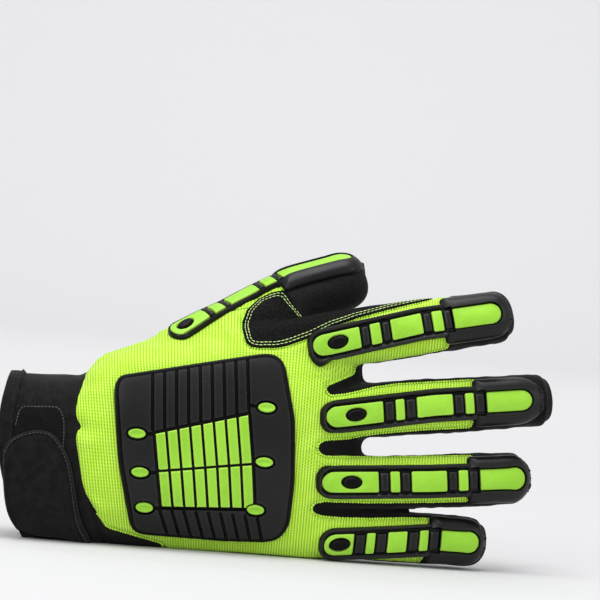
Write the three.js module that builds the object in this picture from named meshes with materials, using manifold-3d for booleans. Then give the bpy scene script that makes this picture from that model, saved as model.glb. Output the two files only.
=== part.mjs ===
// Impact work glove for the right hand, stood on its little-finger edge: a knit back, a synthetic leather palm,
// stretch gussets between the fingers, moulded rubber guards with coloured pads, and a strapped wrist cuff.
// Millimetres, +Z up, +X towards the fingertips, +Y towards the palm, so the back of the hand faces -Y.
import * as THREE from "three";
import { mergeVertices } from "three/addons/utils/BufferGeometryUtils.js";
import Module from "manifold-3d";

const wasm = await Module();
wasm.setup();

// Driving dimensions
const WALL = 2; // fabric and leather
const CUFF_WALL = 2.8; // padded wrist cuff
const GAP = 0.3; // left between neighbouring pieces
const SQUARE = 2.35; // how square the stuffed sections are, where 2 is an ellipse
const FAR = 90; // reach of a cutting solid past the glove
const GUARD_WIDTH = 16.4; // rubber strip along a finger
const PAD_WIDTH = 10.8; // coloured pad let into the strip
const CAP_WIDTH = 25; // rubber cap over a fingertip
const STUD_LONG = 9.6; // oval stud on the first pad
const STUD_WIDE = 6.4;
const OVAL_LONG = 8.5; // small oval pads on the back plate
const OVAL_WIDE = 4.5;
const BAR_GAP = 1; // groove between the bars of the grille
const BAR_COLUMNS = 8;
const GROOVE_WIDTH = 1.6; // moulded grooves of the back plate
const GROOVES = 9;
const HEM_WIDTH = 7; // bound edge of the cuff

// Heights above the skin of the glove
const SEAT = 0.3; // underside of every moulded piece
const POCKET = 1.2; // floor of the pockets for the pads
const GUARD_TOP = 3;
const PAD_TOP = 2.5;
const STUD_TOP = 3.6;
const PLATE_TOP = 3;
const GROOVE_FLOOR = 1.9;
const PATCH_TOP = 1.3; // fastening patch on the cuff
const STRAP_SEAT = 1.6;
const STRAP_TOP = 3.6;

const GROUND = -1.7; // the glove is flattened at this height, where it stands

// Sections of the cuff and hand across the fingers' direction. slant leans the section, so the
// finger roots lie further out on the palm side.
const HAND_SIDES = 16;
const HAND = [
  { x: -40, low: 0.8, high: 76.4, thick: 29.5, slant: 0 },
  { x: 24, low: 0.2, high: 79.6, thick: 28, slant: 0 },
  { x: 30, low: -2.6, high: 89, thick: 29.5, slant: 0 },
  { x: 47, low: -4, high: 96.5, thick: 28.5, slant: 0 },
  { x: 137, low: -3, high: 112, thick: 17, slant: 0.3 },
  { x: 152, low: -1.6, high: 115, thick: 13.5, slant: 0.7 },
  { x: 160, low: 3.4, high: 111, thick: 9, slant: 0.8 },
];

// Middle surface of the hand: it arches across the knuckles and curls to the palm past the knuckles
const ARCH_MIDDLE = 52;
const ARCH_HALF = 50;
const ARCH_RISE = 4;
const CURL_FROM = 118;
const CURL_RADIUS = 420;

// Fingers start at x and z on the middle surface and run for length at heading degrees above the floor.
// normal is how far the back of the finger turns up, and tipHalf and tipThick are measured at the cap.
const DIGIT_SIDES = 10; // of fingers and thumb
const FINGER_ROOT = -34; // how far each finger's tube reaches back into the hand
const FINGERS = [
  { name: "index", x: 128, z: 102.9, heading: 12.4, length: 107.3, half: 14.2, thick: 13.2, tipHalf: 13.2, tipThick: 11.6, normal: 12 },
  { name: "middle", x: 128, z: 69.1, heading: 7.3, length: 126.8, half: 14.4, thick: 13.2, tipHalf: 13.6, tipThick: 11.8, normal: 5 },
  { name: "ring", x: 128, z: 33.6, heading: 5.8, length: 119.5, half: 14.2, thick: 13, tipHalf: 13.2, tipThick: 11.6, normal: 3.6 },
  { name: "little", x: 128, z: 12.9, heading: -0.4, length: 100.4, half: 13.9, thick: 12.4, tipHalf: 12.3, tipThick: 10.8, normal: 1.5 },
];

// Thumb: centres of its sections, from inside the heel of the hand to the tip
const THUMB = [
  { x: 44, y: 6, z: 72.5, half: 19.5, thick: 18 },
  { x: 70, y: 16.5, z: 89, half: 17, thick: 16.4 },
  { x: 100, y: 27.8, z: 108.4, half: 15.6, thick: 15 },
  { x: 126, y: 36, z: 123.8, half: 14.8, thick: 14.4 },
  { x: 147, y: 41.5, z: 133.2, half: 13.4, thick: 12.4 },
];
const THUMB_DOME = 13; // how far the rounded tip reaches past the last section
const THUMB_ROLL = 10; // degrees that the back of the thumb turns to the back of the hand
const THUMB_SEAM = { x: 80, y: 20, z: 98 }; // a point on the seam round the thumb's root
const PATCH_ON_THUMB = 24; // how far past its third section the web patch covers the thumb
const PATCH_SHORT = 4; // how far short of the thumb's middle plane the patch ends

// Web of skin between thumb and index finger
const WEB_SIDES = 6;
const WEB = [
  { x: 66, y: 12, z: 88, half: 15, thick: 15 },
  { x: 88, y: 15, z: 99, half: 15, thick: 13.5 },
  { x: 106, y: 17, z: 107, half: 12.5, thick: 11 },
  { x: 119, y: 18, z: 112, half: 8.5, thick: 7.5 },
  { x: 126, y: 18.5, z: 114, half: 3.5, thick: 3.5 },
];

// Seams: the knit stops short of the middle surface on the back, and the gussets lie between
const BACK_SEAM = -4.5;
const PALM_SEAM = 6.5;
const GUSSET_FROM = 140;
const FINGER_SEAM = 139; // where the leather of the fingers meets the palm
const TIP_SEAM = 15; // leather end of a finger, measured back from its tip

// Rubber strips: where each starts, and the lengths along it of pads and bands
const STRIPS = [
  { name: "index", from: 4, drift: -4.9, first: 25.5, band: 5.2, short: 4.9, long: 15, end: 23, rim: 5 },
  { name: "middle", from: 12.5, drift: -3.8, first: 30.2, band: 6.1, short: 4.1, long: 17.2, end: 22.1, rim: 5 },
  { name: "ring", from: 13.6, drift: 1.2, first: 29.9, band: 5.8, short: 4.4, long: 16.8, end: 21.4, rim: 4.5 },
  { name: "little", from: 17.3, drift: -5.4, first: 16.3, band: 6.2, short: 4, long: 9, end: 18.1, rim: 4.2 },
  { name: "thumb", from: 1, drift: -6, first: 18.9, band: 3.8, short: 6.3, long: 17.1, end: 35.5, rim: 8.5 },
];

// Outline of the plate on the back of the hand, seen from the back, and its grille
const PLATE = [
  { x: 39.8, z: 76 }, { x: 42.3, z: 81.5 }, { x: 47.1, z: 82.8 }, { x: 112.3, z: 97.8 }, { x: 118.1, z: 97.3 },
  { x: 122.5, z: 93.1 }, { x: 129.4, z: 66.6 }, { x: 131.6, z: 36.4 }, { x: 130.8, z: 15.2 }, { x: 127.1, z: 8.7 },
  { x: 121.6, z: 6.1 }, { x: 100.3, z: 5.1 }, { x: 57.7, z: 5.6 }, { x: 53, z: 8.5 }, { x: 44.9, z: 40.6 },
];
const GRILLE = [
  { left: { x: 61.2, z: 55.8 }, right: { x: 106.5, z: 68.3 } },
  { left: { x: 64.2, z: 37.5 }, right: { x: 110.3, z: 44.3 } },
  { left: { x: 67.1, z: 20.2 }, right: { x: 113, z: 22.6 } },
];
const GROOVE_ROWS = [
  { fromLeft: { x: 58, z: 83 }, fromRight: { x: 103.6, z: 93.7 }, toLeft: { x: 60, z: 58.2 }, toRight: { x: 106.1, z: 70.6 } },
  { fromLeft: { x: 67, z: 17.8 }, fromRight: { x: 115.1, z: 17 }, toLeft: { x: 71.1, z: 7.4 }, toRight: { x: 117.3, z: 8 } },
];
const OVALS = [
  { x: 52.8, z: 54.8 }, { x: 55.7, z: 36.4 }, { x: 59.1, z: 19.6 },
  { x: 114.8, z: 71.8 }, { x: 115.8, z: 45.6 }, { x: 113.4, z: 22.2 },
];

// Leather patch over the web of the thumb, and the heel that wraps round from the palm
const WEB_PATCH = [
  { x: 120, z: 129.4 }, { x: 112.6, z: 127.2 }, { x: 106.3, z: 123.5 }, { x: 101, z: 117.7 }, { x: 99.4, z: 111.9 },
  { x: 101.1, z: 105.4 }, { x: 104.8, z: 100.8 }, { x: 117.8, z: 101.3 }, { x: 134, z: 107.8 }, { x: 156.6, z: 119.4 },
  { x: 197, z: 133 }, { x: 197, z: 160 }, { x: 150, z: 140 },
];
const HEEL = [
  { x: 10, z: -20 }, { x: 76, z: -20 }, { x: 69, z: 0.4 }, { x: 42, z: 7 }, { x: 31, z: 21 }, { x: 10, z: 40 },
];

// Both ends of the cuff bow outwards: each is a parabola in x over the height z
const CUFF_END = { x: -14.4, z: 57, bend: 0.005 };
const CUFF_SEAM = { x: 19.9, z: 72, bend: 0.0035 };
const STRAP = [
  { x: -9.9, z: 43 }, { x: -4.5, z: 49.8 }, { x: 4.1, z: 52.9 }, { x: 10.1, z: 51.4 }, { x: 15.3, z: 47.3 },
  { x: 20.8, z: 39.9 }, { x: 23.4, z: 29.3 }, { x: 25, z: 19.7 }, { x: 28, z: 7.8 }, { x: 29, z: -5 }, { x: -3, z: -5 },
  { x: -8.5, z: 17 }, { x: -10.9, z: 33 },
];
const LOOP_PATCH = [
  { x: -3, z: 26 }, { x: 17, z: 26 }, { x: 18.4, z: 59.3 }, { x: 14.1, z: 63.9 }, { x: -5.5, z: 63.5 }, { x: -6.5, z: 59.3 },
];

// Colours of the real materials
const LIME_KNIT = { color: 0xc0f14a, roughness: 0.9, metalness: 0 };
const BLACK_LEATHER = { color: 0x191a18, roughness: 0.75, metalness: 0 };
const BLACK_STRETCH = { color: 0x0f100f, roughness: 0.9, metalness: 0 };
const BLACK_RUBBER = { color: 0x262627, roughness: 0.5, metalness: 0 };
const LIME_RUBBER = { color: 0x9ace34, roughness: 0.5, metalness: 0 };
const BLACK_NEOPRENE = { color: 0x202020, roughness: 0.9, metalness: 0 };

// Middle surface of the hand at x and z
function middleY(x, z) {
  const across = Math.max(-1, Math.min(1, (z - ARCH_MIDDLE) / ARCH_HALF));
  const past = Math.max(0, x - CURL_FROM);
  const grown = Math.max(0, Math.min(1, (x - 20) / 60));
  return ARCH_RISE * grown * across * across + (past * past) / (2 * CURL_RADIUS);
}

// Superellipse: the cosine and sine pair at an angle
function squared(angle, exponent) {
  const c = Math.cos(angle);
  const s = Math.sin(angle);
  return {
    side: Math.sign(c) * Math.abs(c) ** (2 / exponent),
    out: Math.sign(s) * Math.abs(s) ** (2 / exponent),
  };
}

// A closed skin over rings of points, each end closed by a fan to its middle point
function skin(rings) {
  const sides = rings[0].length;
  const points = rings.flat();
  const index = [];
  for (let r = 0; r + 1 < rings.length; r += 1) {
    for (let i = 0; i < sides; i += 1) {
      const a = r * sides + i;
      const b = r * sides + ((i + 1) % sides);
      index.push(a, b, a + sides, b, b + sides, a + sides);
    }
  }
  for (const end of [0, rings.length - 1]) {
    const middle = new THREE.Vector3();
    for (const point of rings[end]) middle.addScaledVector(point, 1 / sides);
    points.push(middle);
    for (let i = 0; i < sides; i += 1) {
      const a = end * sides + i;
      const b = end * sides + ((i + 1) % sides);
      if (end === 0) index.push(b, a, points.length - 1);
      else index.push(a, b, points.length - 1);
    }
  }
  const geometry = new THREE.BufferGeometry();
  geometry.setAttribute("position", new THREE.Float32BufferAttribute(points.flatMap((p) => [p.x, p.y, p.z]), 3));
  geometry.setIndex(index);
  return solid(geometry);
}

// Six times the volume that a geometry's faces enclose, negative when they face inwards
function signedVolume(position, index) {
  const a = new THREE.Vector3();
  const b = new THREE.Vector3();
  const c = new THREE.Vector3();
  let total = 0;
  for (let i = 0; i < index.length; i += 3) {
    a.fromBufferAttribute(position, index[i]);
    b.fromBufferAttribute(position, index[i + 1]);
    c.fromBufferAttribute(position, index[i + 2]);
    total += a.dot(b.cross(c));
  }
  return total;
}

// A geometry as a solid that can be joined and cut
function solid(geometry) {
  geometry.deleteAttribute("normal");
  geometry.deleteAttribute("uv");
  const merged = mergeVertices(geometry, 1e-4);
  const index = Uint32Array.from(merged.index.array);
  if (signedVolume(merged.attributes.position, index) < 0) index.reverse();
  const mesh = new wasm.Mesh({ numProp: 3, vertProperties: Float32Array.from(merged.attributes.position.array), triVerts: index });
  return new wasm.Manifold(mesh);
}

function joined(solids) {
  let whole = solids[0];
  for (const other of solids.slice(1)) whole = whole.add(other);
  return whole;
}

// Axes that an outline is drawn in: u along, v across, and n the way that it is extruded
function frameAt(origin, u, n) {
  const along = u.clone().normalize();
  const out = n.clone().addScaledVector(along, -n.dot(along)).normalize();
  return { origin, u: along, v: new THREE.Vector3().crossVectors(out, along), n: out };
}

// The seen outline of the back: x and z in a plane at y = 0, extruded to the back
const BACK_FRAME = frameAt(new THREE.Vector3(), new THREE.Vector3(1, 0, 0), new THREE.Vector3(0, -1, 0));

function prism(points, frame, from, to) {
  const shape = new THREE.Shape(points.map((p) => new THREE.Vector2(p.x, p.z)));
  const geometry = new THREE.ExtrudeGeometry(shape, { depth: to - from, bevelEnabled: false });
  geometry.translate(0, 0, from);
  const matrix = new THREE.Matrix4().makeBasis(frame.u, frame.v, frame.n);
  matrix.setPosition(frame.origin);
  geometry.applyMatrix4(matrix);
  return solid(geometry);
}

// Outlines of points { x, z }
function widened(points, by) {
  const area = points.reduce((sum, p, i) => {
    const q = points[(i + 1) % points.length];
    return sum + p.x * q.z - q.x * p.z;
  }, 0);
  const turn = area > 0 ? 1 : -1;
  return points.map((p, i) => {
    const before = points[(i + points.length - 1) % points.length];
    const after = points[(i + 1) % points.length];
    const a = new THREE.Vector2(p.x - before.x, p.z - before.z).normalize();
    const b = new THREE.Vector2(after.x - p.x, after.z - p.z).normalize();
    const normal = new THREE.Vector2(a.y + b.y, -a.x - b.x).multiplyScalar(turn).normalize();
    const reach = by / Math.max(0.4, normal.x * turn * a.y - normal.y * turn * a.x);
    return { x: p.x + normal.x * reach, z: p.z + normal.y * reach };
  });
}

function ellipse(x, z, long, wide, sides) {
  const points = [];
  for (let i = 0; i < sides; i += 1) {
    const angle = (2 * Math.PI * i) / sides;
    points.push({ x: x + (long / 2) * Math.cos(angle), z: z + (wide / 2) * Math.sin(angle) });
  }
  return points;
}

// A bar from x to x along a strip, its ends square or rounded; lean is the strip's sideways drift there
function bar(from, to, wide, roundStart, roundEnd, lean) {
  const half = wide / 2;
  const steps = 3;
  const points = [];
  const corner = (middle, start) => {
    for (let i = 0; i <= steps; i += 1) {
      const angle = start + (Math.PI * i) / steps;
      points.push({ x: middle + half * Math.cos(angle), z: half * Math.sin(angle) });
    }
  };
  if (roundEnd) corner(to - half, -Math.PI / 2);
  else points.push({ x: to, z: -half }, { x: to, z: half });
  if (roundStart) corner(from + half, Math.PI / 2);
  else points.push({ x: from, z: half }, { x: from, z: -half });
  return points.map((p) => ({ x: p.x, z: p.z + lean(p.x) }));
}

function between(a, b, t) {
  return { x: a.x + (b.x - a.x) * t, z: a.z + (b.z - a.z) * t };
}

// Section value of a table at x, straight between rows
function rowAt(rows, key, x) {
  const last = rows.length - 1;
  if (x <= rows[0].x) return rows[0][key];
  if (x >= rows[last].x) return rows[last][key];
  const i = rows.findIndex((row) => row.x > x) - 1;
  const t = (x - rows[i].x) / (rows[i + 1].x - rows[i].x);
  return rows[i][key] + (rows[i + 1][key] - rows[i][key]) * t;
}

// The hand's tube, grown by reach on every side
function handTube(reach) {
  const sides = reach < 0 ? HAND_SIDES - 4 : HAND_SIDES;
  const rings = HAND.map((row, r) => {
    const tip = r === HAND.length - 1 ? reach : 0;
    const middle = (row.low + row.high) / 2;
    const ring = [];
    for (let i = 0; i < sides; i += 1) {
      const part = squared((2 * Math.PI * i) / sides, SQUARE);
      const z = middle + part.side * ((row.high - row.low) / 2 + reach);
      const y = part.out * (row.thick + reach);
      ring.push(new THREE.Vector3(row.x + tip + row.slant * y, y + middleY(row.x, z), z));
    }
    return ring;
  });
  return skin(rings);
}

// A tube over sections { centre, half, thick } with a rounded tip of the given depth
function digitTube(sections, outwards, sides, dome, reach) {
  const rings = [];
  const corners = reach < 0 ? sides - 2 : sides;
  const ringAt = (centre, tangent, half, thick) => {
    const frame = frameAt(centre, tangent, outwards);
    const ring = [];
    for (let i = 0; i < corners; i += 1) {
      const part = squared((2 * Math.PI * (i + 0.5)) / corners, SQUARE);
      const point = centre.clone();
      point.addScaledVector(frame.v, part.side * half);
      point.addScaledVector(frame.n, part.out * thick);
      ring.push(point);
    }
    return ring;
  };
  sections.forEach((section, i) => {
    const before = sections[Math.max(0, i - 1)].centre;
    const after = sections[Math.min(sections.length - 1, i + 1)].centre;
    const tangent = after.clone().sub(before).normalize();
    rings.push(ringAt(section.centre, tangent, section.half + reach, section.thick + reach));
  });
  const last = sections[sections.length - 1];
  const tangent = last.centre.clone().sub(sections[sections.length - 2].centre).normalize();
  for (const turn of reach < 0 ? [0.8] : [0.75]) {
    const centre = last.centre.clone().addScaledVector(tangent, (dome + reach) * Math.sin(turn));
    const left = Math.cos(turn) ** 0.8;
    rings.push(ringAt(centre, tangent, (last.half + reach) * left, (last.thick + reach) * left));
  }
  const end = last.centre.clone().addScaledVector(tangent, dome + reach);
  rings.push(ringAt(end, tangent, (last.half + reach) * 0.3, (last.thick + reach) * 0.3));
  return skin(rings);
}

const FINGER_DOME = 10;

function fingerPoint(finger, along) {
  const heading = (finger.heading * Math.PI) / 180;
  const x = finger.x + along * Math.cos(heading);
  const z = finger.z + along * Math.sin(heading);
  return new THREE.Vector3(x, middleY(x, z), z);
}

function fingerOutwards(finger) {
  const roll = (finger.normal * Math.PI) / 180;
  return new THREE.Vector3(0, -Math.cos(roll), Math.sin(roll));
}

function fingerSections(finger) {
  const stations = [
    { along: FINGER_ROOT, grow: -3.5 }, { along: 22, grow: 0 }, { along: 22 + (finger.length - 22) * 0.42, grow: 0 },
    { along: finger.length - FINGER_DOME, grow: 0 },
  ];
  return stations.map((station) => {
    const t = Math.max(0, Math.min(1, station.along / (finger.length - FINGER_DOME)));
    return {
      centre: fingerPoint(finger, station.along),
      half: finger.half + (finger.tipHalf - finger.half) * t + station.grow,
      thick: finger.thick + (finger.tipThick - finger.thick) * t + station.grow,
    };
  });
}

const THUMB_OUTWARDS = (() => {
  const first = THUMB[1];
  const last = THUMB[THUMB.length - 1];
  const along = new THREE.Vector3(last.x - first.x, last.y - first.y, last.z - first.z).normalize();
  const up = new THREE.Vector3(0, 0, 1);
  up.addScaledVector(along, -up.dot(along)).normalize();
  return up.applyAxisAngle(along, (THUMB_ROLL * Math.PI) / 180);
})();

function sectionsOf(rows) {
  return rows.map((row) => ({ centre: new THREE.Vector3(row.x, row.y, row.z), half: row.half, thick: row.thick }));
}

function thumbTube(reach) {
  return digitTube(sectionsOf(THUMB), THUMB_OUTWARDS, DIGIT_SIDES, THUMB_DOME, reach);
}

function webTube(reach) {
  return digitTube(sectionsOf(WEB), new THREE.Vector3(0, -1, 0.2), WEB_SIDES, 3, reach);
}

// The glove without its thumb, and whole, grown by reach
function handSolid(reach) {
  const tubes = FINGERS.map((finger) => digitTube(fingerSections(finger), fingerOutwards(finger), DIGIT_SIDES, FINGER_DOME, reach));
  return joined([handTube(reach), webTube(reach), ...tubes]);
}

const grown = new Map();
function gloveSolid(reach) {
  if (!grown.has(reach)) grown.set(reach, handSolid(reach).add(thumbTube(reach)));
  return grown.get(reach);
}

// Everything above a height
function above(height) {
  const box = new THREE.BoxGeometry(600, 400, 400);
  box.translate(100, 0, 200 + height);
  return solid(box);
}

// The space behind a surface that follows the curl of the fingers at shift from their middle
function behind(shift) {
  const points = [{ x: 290, z: -130 }, { x: -60, z: -130 }, { x: -60, z: shift }];
  for (let x = CURL_FROM; x <= 290; x += 43) points.push({ x, z: shift + (x - CURL_FROM) ** 2 / (2 * CURL_RADIUS) });
  const frame = frameAt(new THREE.Vector3(), new THREE.Vector3(1, 0, 0), new THREE.Vector3(0, 0, 1));
  return prism(points, frame, -60, 200);
}

// All that lies past one of the cuff's bowed edges, moved on by shift
function pastEdge(edge, shift) {
  const points = [{ x: 300, z: -30 }, { x: 300, z: 200 }];
  for (let z = 110; z >= -30; z -= 20) points.push({ x: edge.x + edge.bend * (z - edge.z) ** 2 + shift, z });
  return prism(points, BACK_FRAME, -FAR, FAR);
}

// Half of space as a large block: point on its face, direction into the block
function halfSpace(point, direction) {
  const box = new THREE.BoxGeometry(500, 500, 500);
  box.translate(0, 0, 250);
  const turn = new THREE.Quaternion().setFromUnitVectors(new THREE.Vector3(0, 0, 1), direction.clone().normalize());
  box.applyMatrix4(new THREE.Matrix4().compose(point, turn, new THREE.Vector3(1, 1, 1)));
  return solid(box);
}

// The largest closed body of a solid, as a geometry, without slivers that a cut leaves
function largestBody(whole) {
  const mesh = whole.getMesh();
  const parent = Array.from({ length: mesh.vertProperties.length / mesh.numProp }, (unused, i) => i);
  const root = (i) => {
    let at = i;
    while (parent[at] !== at) {
      parent[at] = parent[parent[at]];
      at = parent[at];
    }
    return at;
  };
  const triangles = Array.from(mesh.triVerts);
  for (let i = 0; i < triangles.length; i += 3) {
    parent[root(triangles[i + 1])] = root(triangles[i]);
    parent[root(triangles[i + 2])] = root(triangles[i]);
  }
  const positions = Array.from({ length: parent.length * 3 }, (unused, i) => {
    return mesh.vertProperties[Math.floor(i / 3) * mesh.numProp + (i % 3)];
  });
  const attribute = new THREE.Float32BufferAttribute(positions, 3);
  const bodies = new Map();
  for (let i = 0; i < triangles.length; i += 3) {
    const key = root(triangles[i]);
    if (!bodies.has(key)) bodies.set(key, []);
    bodies.get(key).push(triangles[i], triangles[i + 1], triangles[i + 2]);
  }
  let best = [];
  let most = 0;
  for (const body of bodies.values()) {
    const volume = signedVolume(attribute, body);
    if (volume > most) {
      most = volume;
      best = body;
    }
  }
  const geometry = new THREE.BufferGeometry();
  geometry.setAttribute("position", attribute);
  geometry.setIndex(best);
  const merged = mergeVertices(geometry.toNonIndexed(), 1e-5);
  merged.computeVertexNormals();
  return merged;
}

const glove = new THREE.Group();
glove.name = "impact_glove";
const groundUp = above(GROUND);

function addPiece(name, whole, look) {
  const mesh = new THREE.Mesh(largestBody(whole.intersect(groundUp)), new THREE.MeshStandardMaterial(look));
  mesh.name = name;
  glove.add(mesh);
}

// The hollow shell, flattened where it stands, split into the hand and its cuff
const insideHand = gloveSolid(-WALL).intersect(above(GROUND + WALL));
const handShell = gloveSolid(0).intersect(groundUp).subtract(insideHand).intersect(pastEdge(CUFF_SEAM, GAP / 2));

// The thumb leaves the hand at a seam round its root
const seamPoint = new THREE.Vector3(THUMB_SEAM.x, THUMB_SEAM.y, THUMB_SEAM.z);
const thumbAlong = new THREE.Vector3(0.78, 0.29, 0.55);
function thumbRegion(reach) {
  const from = seamPoint.clone().addScaledVector(thumbAlong.clone().normalize(), -reach);
  return thumbTube(4 + reach).intersect(halfSpace(from, thumbAlong)).subtract(handSolid(0.3 - reach));
}
const thumbMiddle = new THREE.Vector3(THUMB[2].x, THUMB[2].y, THUMB[2].z);

// The leather patch covers the web and, up to a cross seam, the thumb's flank that faces the index finger
function patchRegion(reach) {
  const facing = new THREE.Vector3(0.3, -0.953, 0);
  const end = thumbMiddle.clone().addScaledVector(thumbAlong.clone().normalize(), PATCH_ON_THUMB + reach);
  const nearSide = halfSpace(thumbMiddle.clone().addScaledVector(facing, PATCH_SHORT - reach), facing);
  const flank = nearSide.intersect(halfSpace(end, thumbAlong.clone().negate()));
  return prism(widened(WEB_PATCH, reach), BACK_FRAME, -FAR, FAR).intersect(behind(15 + reach).add(flank));
}
const thumbShell = handShell.intersect(thumbRegion(0)).subtract(patchRegion(GAP));
const bodyShell = handShell.subtract(thumbRegion(GAP)).subtract(patchRegion(GAP));
const thumbBack = halfSpace(thumbMiddle.clone().addScaledVector(THUMB_OUTWARDS, 1), THUMB_OUTWARDS);
const thumbFront = halfSpace(thumbMiddle.clone().addScaledVector(THUMB_OUTWARDS, 1 - GAP), THUMB_OUTWARDS.clone().negate());

// The knit reaches over to the palm beside the thumb
const RADIAL_KNIT = [
  { x: 0, z: 80 }, { x: 30, z: 78 }, { x: 70, z: 84 }, { x: 112, z: 100 }, { x: 112, z: 200 }, { x: 0, z: 200 },
];
function fingerFrame(finger, along) {
  const here = fingerPoint(finger, along);
  return frameAt(here, fingerPoint(finger, along + 1).sub(here), fingerOutwards(finger));
}
function tipRegion(finger, reach) {
  const start = fingerFrame(finger, finger.length - TIP_SEAM);
  const across = [{ x: -reach, z: -20 }, { x: 40, z: -20 }, { x: 40, z: 20 }, { x: -reach, z: 20 }];
  return prism(across, start, -FAR, FAR);
}
function knitRegion(reach) {
  const radial = prism(widened(RADIAL_KNIT, reach), BACK_FRAME, -18 - reach, FAR);
  let region = behind(BACK_SEAM + reach).add(radial);
  for (const finger of FINGERS) region = region.subtract(tipRegion(finger, -reach));
  return region.subtract(prism(widened(HEEL, -reach), BACK_FRAME, -FAR, FAR));
}
function gussetRegion(first, second, reach) {
  const ends = [first, second].map((finger) => {
    return [GUSSET_FROM, finger.x + finger.length * 0.965].map((x) => {
      const along = (x - finger.x) / Math.cos((finger.heading * Math.PI) / 180);
      return fingerPoint(finger, along);
    });
  });
  const outline = [
    { x: ends[0][0].x - reach, z: ends[0][0].z + reach }, { x: ends[0][1].x + reach, z: ends[0][1].z + reach },
    { x: ends[1][1].x + reach, z: ends[1][1].z - reach }, { x: ends[1][0].x - reach, z: ends[1][0].z - reach },
  ];
  const front = behind(PALM_SEAM + reach);
  const back = behind(BACK_SEAM + GAP - reach);
  return prism(outline, BACK_FRAME, -FAR, FAR).intersect(front.subtract(back));
}

// The front of each finger is a leather of its own, sewn to the palm along a seam across the finger roots.
// Neighbouring fingers meet halfway between their middle lines.
function fingerRegion(i, reach) {
  const zOf = (finger, x) => finger.z + (x - finger.x) * Math.tan((finger.heading * Math.PI) / 180);
  const halfway = (a, b, x) => (zOf(FINGERS[a], x) + zOf(FINGERS[b], x)) / 2;
  const upper = (x) => (i === 0 ? 200 : halfway(i - 1, i, x)) + reach;
  const lower = (x) => (i === FINGERS.length - 1 ? -30 : halfway(i, i + 1, x)) - reach;
  const from = FINGER_SEAM - reach;
  const outline = [{ x: from, z: lower(from) }, { x: 290, z: lower(290) }, { x: 290, z: upper(290) }, { x: from, z: upper(from) }];
  return prism(outline, BACK_FRAME, -FAR, FAR);
}

const PAIRS = [[0, 1], [1, 2], [2, 3]];
let palm = bodyShell.subtract(knitRegion(GAP));
addPiece("back_knit", bodyShell.intersect(knitRegion(0)), LIME_KNIT);
addPiece("web_patch", handShell.intersect(patchRegion(0)), BLACK_LEATHER);
for (const [i, j] of PAIRS) {
  const [first, second] = [FINGERS[i], FINGERS[j]];
  addPiece(`gusset_${first.name}_${second.name}`, bodyShell.intersect(gussetRegion(first, second, 0)), BLACK_STRETCH);
  palm = palm.subtract(gussetRegion(first, second, GAP));
}
FINGERS.forEach((finger, i) => {
  addPiece(`leather_${finger.name}`, palm.intersect(fingerRegion(i, -GAP / 2)), BLACK_LEATHER);
});
const rootSeam = FINGER_SEAM - GAP / 2;
const allFingers = prism([{ x: rootSeam, z: -60 }, { x: 300, z: -60 }, { x: 300, z: 250 }, { x: rootSeam, z: 250 }], BACK_FRAME, -FAR, FAR);
addPiece("palm_leather", palm.subtract(allFingers), BLACK_LEATHER);
addPiece("thumb_knit", thumbShell.intersect(thumbBack), LIME_KNIT);
addPiece("thumb_leather", thumbShell.intersect(thumbFront), BLACK_LEATHER);

// Wrist cuff with its bound end, the fastening patch and the strap over it
const cuffSpace = pastEdge(CUFF_END, 0).subtract(pastEdge(CUFF_SEAM, -GAP / 2));
const cuffInside = handTube(-CUFF_WALL);
addPiece("cuff", handTube(0).subtract(cuffInside).intersect(cuffSpace), BLACK_NEOPRENE);
const strapOutline = prism(STRAP, BACK_FRAME, 0, FAR);
const strapRoom = prism(widened(STRAP, GAP), BACK_FRAME, 0, FAR);
const strapRoot = prism([{ x: -3, z: -20 }, { x: 29, z: -20 }, { x: 29, z: 16 }, { x: -3, z: 16 }], BACK_FRAME, -FAR, GAP);
const strapRootRoom = prism([{ x: -3.3, z: -20 }, { x: 29.3, z: -20 }, { x: 29.3, z: 16.3 }, { x: -3.3, z: 16.3 }], BACK_FRAME, -FAR, GAP);
const strapLayer = handTube(STRAP_TOP).subtract(handTube(STRAP_SEAT));
const beforeHand = (shift) => pastEdge(CUFF_END, -5).subtract(pastEdge(CUFF_SEAM, shift));
addPiece("wrist_strap", strapLayer.intersect(strapOutline.add(strapRoot)).intersect(beforeHand(-0.6)), BLACK_NEOPRENE);
const hemBand = pastEdge(CUFF_END, 0).subtract(pastEdge(CUFF_END, HEM_WIDTH));
const hemLayer = handTube(PATCH_TOP + 0.2).subtract(handTube(SEAT));
addPiece("cuff_hem", hemLayer.intersect(hemBand).subtract(strapRoom).subtract(strapRootRoom), BLACK_STRETCH);
const patchLayer = handTube(PATCH_TOP).subtract(handTube(SEAT)).intersect(prism(LOOP_PATCH, BACK_FRAME, 0, FAR));
addPiece("loop_patch", patchLayer.subtract(pastEdge(CUFF_END, -5).subtract(pastEdge(CUFF_END, HEM_WIDTH + GAP))), BLACK_STRETCH);

// Layers of the moulded rubber over the skin
function layer(low, high) {
  return gloveSolid(high).subtract(gloveSolid(low));
}

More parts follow.
